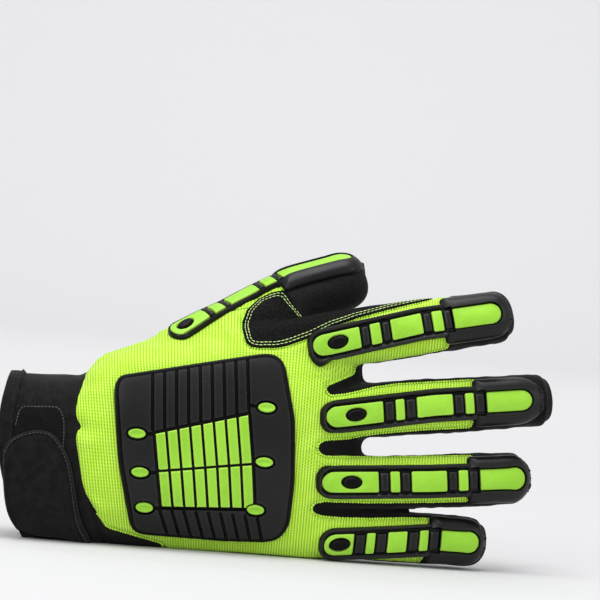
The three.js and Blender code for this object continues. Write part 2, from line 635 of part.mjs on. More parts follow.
// The plate on the back with its grooves, its coloured grille and six oval pads
const plateOutline = prism(PLATE, BACK_FRAME, 0, FAR);
const panelOutline = [GRILLE[0].left, GRILLE[0].right, GRILLE[1].right, GRILLE[2].right, GRILLE[2].left, GRILLE[1].left];
let plate = layer(SEAT, PLATE_TOP).intersect(plateOutline);
plate = plate.subtract(prism(widened(panelOutline, GAP), BACK_FRAME, 0, FAR).subtract(gloveSolid(POCKET)));
const grooveSpace = gloveSolid(PLATE_TOP + 1).subtract(gloveSolid(GROOVE_FLOOR));
for (const row of GROOVE_ROWS) {
  for (let i = 0; i < GROOVES; i += 1) {
    const from = between(row.fromLeft, row.fromRight, i / (GROOVES - 1));
    const to = between(row.toLeft, row.toRight, i / (GROOVES - 1));
    const half = GROOVE_WIDTH / 2;
    const outline = [{ x: from.x - half, z: from.z }, { x: to.x - half, z: to.z }, { x: to.x + half, z: to.z }, { x: from.x + half, z: from.z }];
    plate = plate.subtract(prism(outline, BACK_FRAME, 0, FAR).intersect(grooveSpace));
  }
}
const ovalRooms = OVALS.map((oval) => {
  const room = ellipse(oval.x, oval.z, OVAL_LONG + 2 * GAP, OVAL_WIDE + 2 * GAP, 8);
  return prism(room, BACK_FRAME, 0, FAR);
});
for (const room of ovalRooms) plate = plate.subtract(room);
addPiece("back_plate", plate, BLACK_RUBBER);

const barLayer = gloveSolid(PLATE_TOP + 0.2).subtract(gloveSolid(POCKET + GAP));
const barGroove = gloveSolid(PLATE_TOP + 1).subtract(gloveSolid(POCKET + GAP + 0.5));
let grille = prism(panelOutline, BACK_FRAME, 0, FAR).intersect(barLayer);
const half = BAR_GAP / 2;
const grooveLine = [GRILLE[1].left, GRILLE[1].right];
const level = [
  { x: grooveLine[0].x - 1, z: grooveLine[0].z - half }, { x: grooveLine[1].x + 1, z: grooveLine[1].z - half },
  { x: grooveLine[1].x + 1, z: grooveLine[1].z + half }, { x: grooveLine[0].x - 1, z: grooveLine[0].z + half },
];
let cuts = prism(level, BACK_FRAME, 0, FAR);
for (let i = 1; i < BAR_COLUMNS; i += 1) {
  const [high, low] = [GRILLE[0], GRILLE[2]].map((line) => between(line.left, line.right, i / BAR_COLUMNS));
  const outline = [
    { x: high.x - half, z: high.z + 1 }, { x: low.x - half, z: low.z - 1 },
    { x: low.x + half, z: low.z - 1 }, { x: high.x + half, z: high.z + 1 },
  ];
  cuts = cuts.add(prism(outline, BACK_FRAME, 0, FAR));
}
grille = grille.subtract(cuts.intersect(barGroove));
for (const room of ovalRooms) grille = grille.subtract(room);
addPiece("grille_inlay", grille, LIME_RUBBER);
OVALS.forEach((oval, i) => {
  const outline = prism(ellipse(oval.x, oval.z, OVAL_LONG, OVAL_WIDE, 8), BACK_FRAME, 0, FAR);
  addPiece(`plate_oval_${i + 1}`, outline.intersect(layer(SEAT, PLATE_TOP + 0.3)), LIME_RUBBER);
});

// A digit's rubber strip: pads let into it, bands across it, a stud on the first pad and a cap on the tip
function addStrip(strip, frame) {
  const lean = (x) => strip.drift * Math.max(0, 1 - (x - strip.from) / 55);
  const plain = () => 0;
  const stations = [];
  let at = strip.from + 1.2;
  const pads = [
    ["oval", strip.first - 1.2], ["short_1", strip.short], ["long", strip.long], ["short_2", strip.short], ["cap", strip.end],
  ];
  for (const [kind, length] of pads) {
    stations.push({ kind, from: at, to: at + length });
    at += length + strip.band;
  }
  const end = at - strip.band + strip.rim;
  const capFrom = stations[4].from - strip.band * 0.9;
  const body = prism(bar(strip.from, end, GUARD_WIDTH, true, true, lean), frame, 0, FAR);
  const half = CAP_WIDTH / 2;
  const capOutline = [
    { x: capFrom - 1, z: GUARD_WIDTH / 2 }, { x: capFrom + 3, z: half }, { x: end - 9, z: half }, { x: end - 4, z: half - 3 },
    { x: end - 0.8, z: half - 7.5 }, { x: end, z: 0 }, { x: end - 0.8, z: -half + 7.5 }, { x: end - 4, z: -half + 3 },
    { x: end - 9, z: -half }, { x: capFrom + 3, z: -half }, { x: capFrom - 1, z: -GUARD_WIDTH / 2 },
  ];
  let guard = body.add(prism(capOutline, frame, 0, FAR)).intersect(layer(SEAT, GUARD_TOP));
  const padLayer = layer(SEAT, PAD_TOP);
  stations.forEach((station, i) => {
    const room = bar(station.from - GAP, station.to + GAP, PAD_WIDTH + 2 * GAP, i === 0, i === 4, lean);
    guard = guard.subtract(prism(room, frame, 0, FAR));
  });
  const studAt = stations[0].from + (stations[0].to - stations[0].from) * 0.55;
  const stud = prism(ellipse(studAt, lean(studAt), STUD_LONG, STUD_WIDE, 6), frame, 0, FAR);
  const studRoom = prism(ellipse(studAt, lean(studAt), STUD_LONG + 2 * GAP, STUD_WIDE + 2 * GAP, 6), frame, 0, FAR);
  guard = guard.add(stud.intersect(layer(SEAT, STUD_TOP)));
  addPiece(`guard_${strip.name}`, guard, BLACK_RUBBER);
  stations.forEach((station, i) => {
    let pad = prism(bar(station.from, station.to, PAD_WIDTH, i === 0, i === 4, lean), frame, 0, FAR).intersect(padLayer);
    if (i === 0) pad = pad.subtract(studRoom);
    addPiece(`pad_${strip.name}_${station.kind}`, pad, LIME_RUBBER);
  });
}
STRIPS.forEach((strip, i) => {
  if (i < FINGERS.length) {
    const finger = FINGERS[i];
    const along = fingerPoint(finger, finger.length).sub(fingerPoint(finger, 0));
    addStrip(strip, frameAt(fingerPoint(finger, 0), along, fingerOutwards(finger)));
  } else {
    const start = new THREE.Vector3(THUMB[1].x, THUMB[1].y, THUMB[1].z);
    const end = new THREE.Vector3(THUMB[4].x, THUMB[4].y, THUMB[4].z);
    addStrip(strip, frameAt(start, end.sub(start), THUMB_OUTWARDS));
  }
});

// The origin is the middle of the footprint, on the floor
const extent = new THREE.Box3().setFromObject(glove);
glove.position.set(-(extent.min.x + extent.max.x) / 2, -(extent.min.y + extent.max.y) / 2, -GROUND);

export default glove;
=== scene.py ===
"""Looks of the impact work glove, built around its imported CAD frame.

The glove's skin is worked out once as a distance field in millimetres, in the part's own coordinates: +X to
the fingertips, +Y to the palm, +Z up. Its surface is cut along the seams into knit, leather, stretch and
patch panels. The moulded rubber lies over that skin, in coordinates along and across each finger and over the
back of the hand.
"""
import math

import bpy
import numpy as np
from mathutils import Matrix, Vector
from mathutils.bvhtree import BVHTree
from mathutils.kdtree import KDTree


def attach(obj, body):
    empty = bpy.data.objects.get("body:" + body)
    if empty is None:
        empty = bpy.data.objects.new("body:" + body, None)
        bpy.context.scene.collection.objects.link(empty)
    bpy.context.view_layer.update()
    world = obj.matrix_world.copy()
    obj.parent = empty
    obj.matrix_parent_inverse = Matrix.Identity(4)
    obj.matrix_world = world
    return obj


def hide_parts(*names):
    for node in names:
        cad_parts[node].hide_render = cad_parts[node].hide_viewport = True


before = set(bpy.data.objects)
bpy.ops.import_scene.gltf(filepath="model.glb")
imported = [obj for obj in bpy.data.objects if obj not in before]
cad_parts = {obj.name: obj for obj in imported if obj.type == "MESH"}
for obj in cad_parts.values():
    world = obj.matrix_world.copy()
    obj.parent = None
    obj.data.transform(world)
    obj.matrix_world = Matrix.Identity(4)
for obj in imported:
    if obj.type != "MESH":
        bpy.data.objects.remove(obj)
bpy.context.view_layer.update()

# Sizes, in millimetres
MM = 0.001  # a millimetre in the frame's metres
GROUND = -1.7  # height of the floor in the part's coordinates
ORIGIN = np.array([120.190, 11.270, GROUND])  # the frame's origin in the part's coordinates
GRID = 1.15  # spacing of the working grid
FABRIC = 1.6  # thickness of the fabric panels
SQUARE, TIP_SQUARE = 2.35, 2.2  # how square the stuffed sections and the tips are, where 2 is an ellipse

HAND = [  # x, low, high, thick, slant
    (-40, 0.8, 76.4, 29.5, 0), (24, 0.2, 79.6, 28.2, 0), (30, -2.6, 89, 29.5, 0), (47, -4, 96.5, 28.5, 0),
    (137, -3, 112, 17, 0.3), (152, -1.6, 115, 13.5, 0.7), (160, 3.4, 111, 9, 0.8), (176, 3.4, 111, 9, 0.8),
]
HAND_DOME_FROM, HAND_DOME = 146, 15  # from where the hand closes in a dome past the knuckles, and how long
ARCH_MIDDLE, ARCH_HALF, ARCH_RISE = 52, 50, 4  # the hand's back is arched across the knuckles
CURL_FROM, CURL_RADIUS = 118, 420  # past that x the hand curls to the palm

FINGERS = [  # name, x, z, heading, length, half, thick, tip half, tip thick, normal
    ("index", 128, 102.9, 12.4, 107.3, 14.2, 13.2, 13.2, 11.6, 12),
    ("middle", 128, 69.1, 7.3, 128.8, 14.4, 13.2, 13.6, 11.8, 5),
    ("ring", 128, 33.6, 5.8, 119.5, 14.2, 13, 13.2, 11.6, 3.6),
    ("little", 128, 12.9, -0.4, 100.4, 13.9, 12.4, 12.3, 10.8, 1.5),
]
FINGER_ROOT, FINGER_DOME = -34, 10  # where a finger starts inside the hand, and the length of its round tip
ROOT_UNTIL, ROOT_SLIMMER = 22, 3.5  # up to that length a finger is slimmer, by up to so much at its root
THUMB = [  # x, y, z, half, thick
    (44, 6, 72.5, 19.5, 18), (70, 16.5, 89, 17, 16.4), (100, 27.8, 108.4, 15.6, 15),
    (126, 36, 123.8, 14.8, 14.4), (147, 41.5, 133.2, 13.4, 12.4),
]
THUMB_DOME, THUMB_ROLL = 13, 10  # length of its round tip, and degrees that its back is rolled
THUMB_MIDDLE, THUMB_FACING = np.array(THUMB[2][:3]), np.array([0.3, -0.953, 0])  # and the way to the index
THUMB_SEAM, THUMB_ALONG = np.array([80, 20, 98]), np.array([0.78, 0.29, 0.55])  # seam's place and way
WEB = [  # x, y, z, half, thick of the skin between thumb and index finger
    (66, 12, 88, 15, 15), (88, 15, 99, 15, 13.5), (106, 17, 107, 12.5, 11), (119, 18, 112, 8.5, 7.5),
    (126, 18.5, 114, 3.5, 3.5),
]
WEB_DOME = 3

STRIPS = [  # name, from, drift, first, band, short, long, end, rim
    ("index", 4.0, -4.9, 25.5, 5.2, 4.9, 15, 23, 5.5),
    ("middle", 12.5, -3.8, 30.2, 6.1, 4.1, 17.2, 22.1, 6),
    ("ring", 13.6, 1.2, 29.9, 5.8, 4.4, 16.8, 21.4, 4.0),
    ("little", 17.3, -7.5, 16.3, 6.2, 4, 9, 18.1, 4.2),
    ("thumb", -2.6, -10.5, 22.5, 3.8, 6.3, 17.1, 35.5, 4.8),
]
ROUND = 13.5  # radius that turns an angle round a finger into millimetres across its strip

BACK_SEAM, PALM_SEAM = -4.5, 6.5  # where the knit and the gussets end, from the hand's middle surface
KNIT_HALF = 20.0  # how far the knit reaches round a finger from the middle of its strip
KNIT_OVER_TOP = 18  # y to which the knit reaches over the hand's upper edge
KNIT_END_SLANT = 0.12
KNIT_TURNS = (126, 14)  # x from which the knit follows the fingers, not the hand, and over what length
KNIT_UPPER_EDGE = [(-20, 80), (30, 78), (70, 84), (112, 100), (112, 220), (-20, 220)]
FREE_FROM, FREE_HALF = 50, 19  # past that length a finger stands free, no wider than that round its middle
NOTCH_DEPTH = 6  # the notches end that far past the hand's middle surface
FAR = -60.0  # well outside any outline
FINGER_SEAM = 139  # x past which the leather is the fingers' own
NOTCHES = [  # where the knit parts between two fingers, seen from the back: along its upper edge, and back
    [(250, 121), (203.5, 107.5), (183.3, 101.5), (171.7, 97.7), (160.2, 92.9), (152.3, 89.1),
     (146.8, 86.4), (144, 85), (143.2, 83.1), (144.2, 81), (146.5, 80.1), (150.9, 80.9), (155.1, 81.9),
     (166.7, 85.8), (178.3, 88.4), (250, 97.6)],
    [(250, 73), (207.4, 68), (193.5, 66.4), (178.7, 64.1), (171.4, 62.8), (164.2, 61.2), (156.9, 59.1),
     (149.6, 58.6), (145.2, 58.2), (142.4, 56.5), (141.5, 53.9), (142.8, 51.4), (145.8, 50), (150.2, 50),
     (179.5, 52.3), (250, 58.5)],
    [(250, 35.5), (207.6, 31.7), (186.1, 30), (171.5, 28.9), (156.8, 28.2), (147, 27.9), (142.9, 26.8),
     (141, 24.4), (142, 21.6), (146.4, 20.2), (157.4, 20.3), (172, 21), (186.7, 22.5), (197.9, 22.9),
     (250, 22.9)],
    [(151.5, -0.1), (179, 0.3), (195.7, 0.3), (250, 0.6), (250, -9), (150, -9)],
]
THUMB_KNIT_HALF = 14.5  # how far the knit reaches round the thumb
GUSSET_SHARE, GUSSET_REACH = 0.965, 17  # how much of a finger's length its gusset goes along, and how wide
KNIT_ENDS = {"index": 73.5, "middle": 87.4, "ring": 88.9, "little": 69.5, "thumb": 61.4}
WEB_PATCH = [
    (120, 129.4), (112.6, 127.2), (106.3, 123.5), (101, 117.7), (99.4, 111.9), (99.8, 108.6),
    (101.1, 105.4), (102.2, 102.6), (104.8, 100.8), (108.8, 100.5), (117.8, 101.3), (123.4, 103),
    (134, 107.8), (144.6, 114), (156.6, 119.2), (171.9, 124.6), (197, 132.4), (197, 160), (150, 140),
]
PATCH_ON_WEB = 15  # how far the patch goes to the palm over the web
PATCH_ON_THUMB, PATCH_SHORT = 24, 4  # how far it goes along the thumb, and how far short of its middle plane
HEEL = [(10, -20), (76, -20), (69, 0.4), (42, 7), (31, 21), (10, 40)]
CUFF_END = (-14.4, 57, 0.005, 0)  # x at a height z, how bowed, and how much farther on it lies at its top
CUFF_SEAM = (19.9, 72, 0.0035, 3.2)
CUFF_TOP_FROM, CUFF_TOP_OVER = 67, 12  # height from which that top starts, and over how much height

PLATE = [
    (39.8, 76), (42.3, 81.5), (47.1, 82.8), (112.3, 97.8), (118.1, 97.3), (122.5, 93.1), (129.4, 66.6),
    (131.6, 36.4), (130.8, 15.2), (127.1, 8.7), (121.6, 6.1), (100.3, 5.1), (57.7, 5.6), (53, 8.5),
    (44.9, 40.6),
]


# Tables and small sums
ROUNDED_OVER = 11


def rounded_table(rows):
    """A table at each millimetre along its first column, its corners rounded over ROUNDED_OVER of them."""
    rows = np.array(rows, float)
    at = np.arange(rows[0, 0], rows[-1, 0] + 0.5)
    kernel = np.hanning(ROUNDED_OVER + 2)[1:-1]
    kernel /= kernel.sum()
    columns = []
    for column in rows[:, 1:].T:
        line = np.interp(at, rows[:, 0], column)
        edge = ROUNDED_OVER // 2
        first, last = line[1] - line[0], line[-1] - line[-2]
        before = line[0] - first * np.arange(edge, 0, -1)
        after = line[-1] + last * np.arange(1, edge + 1)
        columns.append(np.convolve(np.concatenate([before, line, after]), kernel, mode="valid"))
    return at, columns


def clamp(value, low=0.0, high=1.0):
    return np.minimum(np.maximum(value, low), high)


def ease(value):
    """0 to 1 with a soft start and end."""
    value = clamp(value)
    return value * value * (3 - 2 * value)


def smooth_min(a, b, k):
    h = clamp(0.5 + 0.5 * (b - a) / k)
    return b * (1 - h) + a * h - k * h * (1 - h)


def smooth_max(a, b, k):
    return -smooth_min(-a, -b, k)


def unit(v):
    v = np.asarray(v, float)
    return v / np.maximum(np.linalg.norm(v, axis=-1, keepdims=True), 1e-9)


def inside_polygon(points, u, v):
    """Distance to a polygon's edge, positive inside."""
    u, v = np.asarray(u, float), np.asarray(v, float)
    best = np.full(u.shape, 1e9)
    inside = np.zeros(u.shape, bool)
    for (x0, y0), (x1, y1) in zip(points, points[1:] + points[:1]):
        ex, ey = x1 - x0, y1 - y0
        t = clamp(((u - x0) * ex + (v - y0) * ey) / (ex * ex + ey * ey))
        best = np.minimum(best, (u - x0 - t * ex) ** 2 + (v - y0 - t * ey) ** 2)
        crosses = ((y0 > v) != (y1 > v)) & (u < (x1 - x0) * (v - y0) / (y1 - y0 + 1e-12) + x0)
        inside ^= crosses
    best = np.sqrt(best)
    return np.where(inside, best, -best)


def rounded(points, reach, parts=5):
    """A polygon whose corners are rounded off, each by up to reach along its two edges."""
    points, out = np.array(points, float), []
    for i, corner in enumerate(points):
        ends = []
        for other in (points[i - 1], points[(i + 1) % len(points)]):
            length = np.linalg.norm(other - corner)
            ends.append(corner + (other - corner) * min(reach, 0.48 * length) / length)
        for t in np.linspace(0, 1, parts + 1):
            out.append((1 - t) ** 2 * ends[0] + 2 * t * (1 - t) * corner + t * t * ends[1])
    return [tuple(p) for p in out]


def inside_box(u, v, middle, half, corner):
    """Distance to the edge of a box with rounded corners, positive inside."""
    du = np.abs(u - middle[0]) - (half[0] - corner)
    dv = np.abs(v - middle[1]) - (half[1] - corner)
    outside = np.hypot(np.maximum(du, 0), np.maximum(dv, 0))
    return corner - outside - np.minimum(np.maximum(du, dv), 0)


def inside_oval(u, v, middle, half):
    a, b = (u - middle[0]) / half[0], (v - middle[1]) / half[1]
    r = np.hypot(a, b)
    reach = np.hypot(a / half[0], b / half[1])
    return np.where(r > 1e-6, r * (1 - r) / np.maximum(reach, 1e-9), min(half))


NOISE_WAVES, NOISE_REACH = 14, 5.3  # how many waves are added up, and how far their sum reaches


def bump_noise(p, size, seed):
    """Smooth seeded noise from -1 to 1 over points in millimetres, by waves in many directions."""
    rng = np.random.default_rng(seed)
    total = np.zeros(p.shape[:-1])
    for _ in range(NOISE_WAVES):
        way = unit(rng.normal(size=3))
        length = size * rng.uniform(0.7, 1.6)
        total += np.sin((p @ way) * math.tau / length + rng.uniform(0, 6.28))
    return total / NOISE_REACH


# The glove's skin as a distance field
HAND_AT, (HAND_LOW, HAND_HIGH, HAND_THICK, HAND_SLANT) = rounded_table(HAND)


def middle_y(x, z):
    """Middle surface of the hand: arched over the knuckles, and curled to the palm past them."""
    across = clamp((z - ARCH_MIDDLE) / ARCH_HALF, -1, 1)
    past = np.maximum(0, x - CURL_FROM)
    return ARCH_RISE * clamp((x - 20) / 60) * across**2 + past**2 / (2 * CURL_RADIUS)


def hand_field(p):
    """Distance to the stuffed hand: rounded sections that slant with the knuckles and close in a dome."""
    x, z = p[..., 0], p[..., 2]
    lift = p[..., 1] - middle_y(x, z)
    at = x - np.interp(x, HAND_AT, HAND_SLANT) * lift
    at = x - np.interp(at, HAND_AT, HAND_SLANT) * lift
    low, high = np.interp(at, HAND_AT, HAND_LOW), np.interp(at, HAND_AT, HAND_HIGH)
    side = z - (low + high) / 2
    past = np.maximum(0, at - HAND_DOME_FROM)
    q = (np.abs(side) / ((high - low) / 2)) ** SQUARE
    q = q + (np.abs(lift) / np.interp(at, HAND_AT, HAND_THICK)) ** SQUARE
    q = np.maximum(q + (past / HAND_DOME) ** SQUARE, 1e-9) ** (1 / SQUARE)
    return np.sqrt(side**2 + lift**2 + past**2) * (1 - 1 / q)


class Digit:
    """A finger, the thumb or the web: a stuffed tube round a middle line, with coordinates of its own."""

    def __init__(self, rows, outwards, end, dome):
        self.end, self.dome = end, dome
        self.at, columns = rounded_table(rows)
        self.centre = np.array(columns[:3]).T
        self.half, self.thick = columns[3], columns[4]
        self.along = unit(np.gradient(self.centre, axis=0))
        out = np.array(outwards, float) - self.along * (self.along @ np.array(outwards, float))[:, None]
        self.out = unit(out)
        self.side = np.cross(self.out, self.along)

    def table(self, values, s):
        if values.ndim == 1:
            return np.interp(s, self.at, values)
        return np.stack([np.interp(s, self.at, values[:, i]) for i in range(3)], -1)

    def coordinates(self, p):
        """Distance along the middle line, sideways and outwards."""
        first, last = self.centre[0], self.centre[-1]
        chord = unit(last - first)
        s = self.at[0] + (p - first) @ chord
        for _ in range(2):
            away = p - self.table(self.centre, s)
            s = s + (away * self.table(self.along, s)).sum(-1)
        away = p - self.table(self.centre, s)
        return s, (away * self.table(self.side, s)).sum(-1), (away * self.table(self.out, s)).sum(-1)

    def field(self, p):
        s, side, out = self.coordinates(p)
        past = np.maximum(0, s - (self.end - self.dome))
        q = (np.abs(side) / self.table(self.half, s)) ** SQUARE
        q = q + (np.abs(out) / self.table(self.thick, s)) ** SQUARE
        q = q ** (TIP_SQUARE / SQUARE) + (past / self.dome) ** TIP_SQUARE
        q = np.maximum(q, 1e-9) ** (1 / TIP_SQUARE)
        return np.maximum(np.sqrt(side**2 + out**2 + past**2) * (1 - 1 / q), self.at[0] + 1 - s)

    def place(self, s, across):
        """Middle point and outward direction for a place along and across the digit's strip."""
        turn = np.asarray(across) / ROUND
        out, side = self.table(self.out, s), self.table(self.side, s)
        return self.table(self.centre, s), out * np.cos(turn)[..., None] + side * np.sin(turn)[..., None]


def make_finger(row):
    """A finger from its row of the table, a little slimmer inside the hand, where its root ends."""
    _, x, z, heading, length, half, thick, tip_half, tip_thick, normal = row
    turn, roll = math.radians(heading), math.radians(normal)
    rows = []
    for s in np.arange(FINGER_ROOT, length + 26, 4.0):
        t = clamp(s / (length - FINGER_DOME), 0, 1.15)
        grow = -ROOT_SLIMMER * clamp((ROOT_UNTIL - s) / (ROOT_UNTIL - FINGER_ROOT))
        px, pz = x + s * math.cos(turn), z + s * math.sin(turn)
        rows.append((s, px, middle_y(px, pz), pz, half + (tip_half - half) * t + grow,
                     thick + (tip_thick - thick) * t + grow))
    return Digit(rows, (0, -math.cos(roll), math.sin(roll)), length, FINGER_DOME)


def make_chain(sections, outwards, dome):
    """A digit over sections x, y, z, half, thick; its distance along starts at the second section."""
    sections = np.array(sections, float)
    steps = np.linalg.norm(np.diff(sections[:, :3], axis=0), axis=1)
    at = np.concatenate([[0], np.cumsum(steps)]) - steps[0]
    past = 30  # the middle line goes on straight past the tip
    last = sections[-1] + (sections[-1] - sections[-2]) * (past / steps[-1])
    last[3:] = sections[-1, 3:]
    rows = [(s, *row) for s, row in zip(at, sections)] + [(at[-1] + past, *last)]
    return Digit(rows, outwards, at[-1] + dome, dome)


def thumb_outwards():
    """Way out of the thumb's back: straight up, rolled a little round the thumb."""
    along = unit(np.array(THUMB[-1][:3]) - np.array(THUMB[1][:3]))
    up = unit(np.array([0, 0, 1.0]) - along * along[2])
    turn = math.radians(THUMB_ROLL)
    return up * math.cos(turn) + np.cross(along, up) * math.sin(turn)


DIGITS = {row[0]: make_finger(row) for row in FINGERS}
DIGITS["thumb"] = make_chain(THUMB, thumb_outwards(), THUMB_DOME)
web = make_chain(WEB, (0, -1, 0.2), WEB_DOME)


def edge_x(edge, z):
    """A bowed edge of the cuff: x over the height z."""
    return edge[0] + edge[2] * (z - edge[1]) ** 2 + edge[3] * ease((z - CUFF_TOP_FROM) / CUFF_TOP_OVER)


GRID_LOW = np.array([8.0, -44.0, -8.0])
GRID_SHAPE = tuple(int(n) for n in np.ceil((np.array([266.0, 66.0, 158.0]) - GRID_LOW) / GRID))
axes = [GRID_LOW[i] + GRID * np.arange(GRID_SHAPE[i]) for i in range(3)]


def on_grid(function, low=None, high=None):
    """A field's values on the working grid, worked out only between two corners."""
    out = np.full(GRID_SHAPE, 30.0)
    low = GRID_LOW if low is None else low
    high = GRID_LOW + GRID * np.array(GRID_SHAPE) if high is None else high
    a = [max(0, int((low[i] - GRID_LOW[i]) / GRID)) for i in range(3)]
    b = [min(GRID_SHAPE[i], int((high[i] - GRID_LOW[i]) / GRID) + 2) for i in range(3)]
    block = tuple(slice(a[i], b[i]) for i in range(3))
    p = np.stack(np.meshgrid(*[axes[i][a[i]:b[i]] for i in range(3)], indexing="ij"), -1)
    out[block] = function(p)
    return out


def digit_on_grid(digit):
    """A digit's field on the working grid, worked out only round the digit."""
    used = digit.at <= digit.end
    reach = digit.half.max() + 14
    return on_grid(digit.field, digit.centre[used].min(0) - reach, digit.centre[used].max(0) + reach)


FINGER_BLEND, WEB_BLEND, ROOT_BLEND, THUMB_BLEND = 1.2, 8, 5, 7  # how softly the parts run into each other
CUFF_BLEND, FLOOR_BLEND = 7, 2


def build_field():
    """The whole glove's field with even slopes, and the field without the thumb."""
    hand = on_grid(hand_field)
    fingers = digit_on_grid(DIGITS["index"])
    for name in ("middle", "ring", "little"):
        fingers = smooth_min(fingers, digit_on_grid(DIGITS[name]), FINGER_BLEND)
    body = smooth_min(smooth_min(hand, digit_on_grid(web), WEB_BLEND), fingers, ROOT_BLEND)
    whole = smooth_min(body, digit_on_grid(DIGITS["thumb"]), THUMB_BLEND)
    x, z = axes[0][:, None, None], axes[2][None, None, :]
    whole = smooth_max(whole, edge_x(CUFF_SEAM, z) - x, CUFF_BLEND)
    whole = smooth_max(whole, 0 * x + GROUND - z, FLOOR_BLEND)
    slope = np.sqrt(sum(g**2 for g in np.gradient(whole, GRID)))
    return whole / clamp(slope, 0.6, 1.6), body


FIELD, BODY_FIELD = build_field()


def sample(field, p):
    """A grid field's values at points, straight between the grid's points."""
    q = (p - GRID_LOW) / GRID
    q = np.minimum(np.maximum(q, 0), np.array(GRID_SHAPE) - 1.001)
    i = q.astype(int)
    f = q - i
    total = 0
    for corner in range(8):
        step = np.array([corner & 1, corner >> 1 & 1, corner >> 2 & 1])
        j = i + step
        weight = np.prod(np.where(step, f, 1 - f), axis=-1)
        total = total + weight * field[j[..., 0], j[..., 1], j[..., 2]]
    return total


def slope_at(field, p, reach=0.9):
    """A grid field's slope, over reach to both sides."""
    steps = np.eye(3) * reach
    return np.stack([sample(field, p + s) - sample(field, p - s) for s in steps], -1) / (2 * reach)


def to_skin(p, rounds=3):
    """Moves points on to the glove's skin."""
    for _ in range(rounds):
        g = slope_at(FIELD, p)
        p = p - g * (sample(FIELD, p) / np.maximum((g**2).sum(-1), 0.05))[..., None]
    return p


# Meshes as points and triangles
def skin_of_field(field):
    """The field's zero surface as even triangles, one point in each grid cell that it crosses."""
    inside = field < 0
    nx, ny, nz = field.shape
    corner = [(i, j, k) for i in (0, 1) for j in (0, 1) for k in (0, 1)]
    stack = [inside[i:nx - 1 + i, j:ny - 1 + j, k:nz - 1 + k] for i, j, k in corner]
    count = sum(s.astype(np.int8) for s in stack)
    active = (count > 0) & (count < 8)
    index = np.full(active.shape, -1)
    cells = np.argwhere(active)
    index[active] = np.arange(len(cells))
    values = np.stack([field[cells[:, 0] + i, cells[:, 1] + j, cells[:, 2] + k] for i, j, k in corner], 1)
    total, hits = np.zeros((len(cells), 3)), np.zeros(len(cells))
    for a in range(8):
        for b in range(a + 1, 8):
            ca, cb = np.array(corner[a]), np.array(corner[b])
            if np.abs(ca - cb).sum() != 1:
                continue
            cross = (values[:, a] < 0) != (values[:, b] < 0)
            t = values[cross, a] / (values[cross, a] - values[cross, b])
            total[cross] += ca + t[:, None] * (cb - ca)
            hits[cross] += 1
    points = GRID_LOW + GRID * (cells + total / hits[:, None])
    quads = []
    for axis in range(3):
        u, v = (axis + 1) % 3, (axis + 2) % 3
        first = [slice(None)] * 3
        second = [slice(None)] * 3
        first[axis], second[axis] = slice(0, -1), slice(1, None)
        for other in (u, v):
            first[other] = second[other] = slice(1, -1)
        out = inside[tuple(first)] & ~inside[tuple(second)]
        into = ~inside[tuple(first)] & inside[tuple(second)]
        for mask, flip in ((out, False), (into, True)):
            at = np.argwhere(mask)
            at[:, u] += 1
            at[:, v] += 1
            ring = []
            for du, dv in ((-1, -1), (0, -1), (0, 0), (-1, 0)):
                c = at.copy()
                c[:, u] += du
                c[:, v] += dv
                ring.append(index[c[:, 0], c[:, 1], c[:, 2]])
            ring = np.stack(ring, 1)
            quads.append(ring[:, ::-1] if flip else ring)
    quads = np.concatenate(quads)
    return points, np.concatenate([quads[:, [0, 1, 2]], quads[:, [0, 2, 3]]])


def edges_of(tris):
    """Each triangle's three edges, sorted and as they run."""
    pairs = np.concatenate([tris[:, [0, 1]], tris[:, [1, 2]], tris[:, [2, 0]]])
    return np.sort(pairs, axis=1), pairs


def neighbours(points, pairs):
    """The middle of the points that each point is paired with, and how many they are."""
    total, count = np.zeros_like(points), np.bincount(pairs.ravel(), minlength=len(points))
    for a, b in ((0, 1), (1, 0)):
        for i in range(3):
            total[:, i] += np.bincount(pairs[:, a], weights=points[pairs[:, b], i], minlength=len(points))
    return total / np.maximum(count, 1)[:, None], count


def relax(points, tris):
    """Every point moves half way to the middle of its neighbours."""
    middle, _ = neighbours(points, np.unique(edges_of(tris)[0], axis=0))
    return points + 0.5 * (middle - points)


def normals_of(points, tris):
    a, b, c = (points[tris[:, i]] for i in range(3))
    face = np.cross(b - a, c - a)
    total = np.zeros_like(points)
    for i in range(3):
        for k in range(3):
            total[:, k] += np.bincount(tris[:, i], weights=face[:, k], minlength=len(points))
    return unit(total)


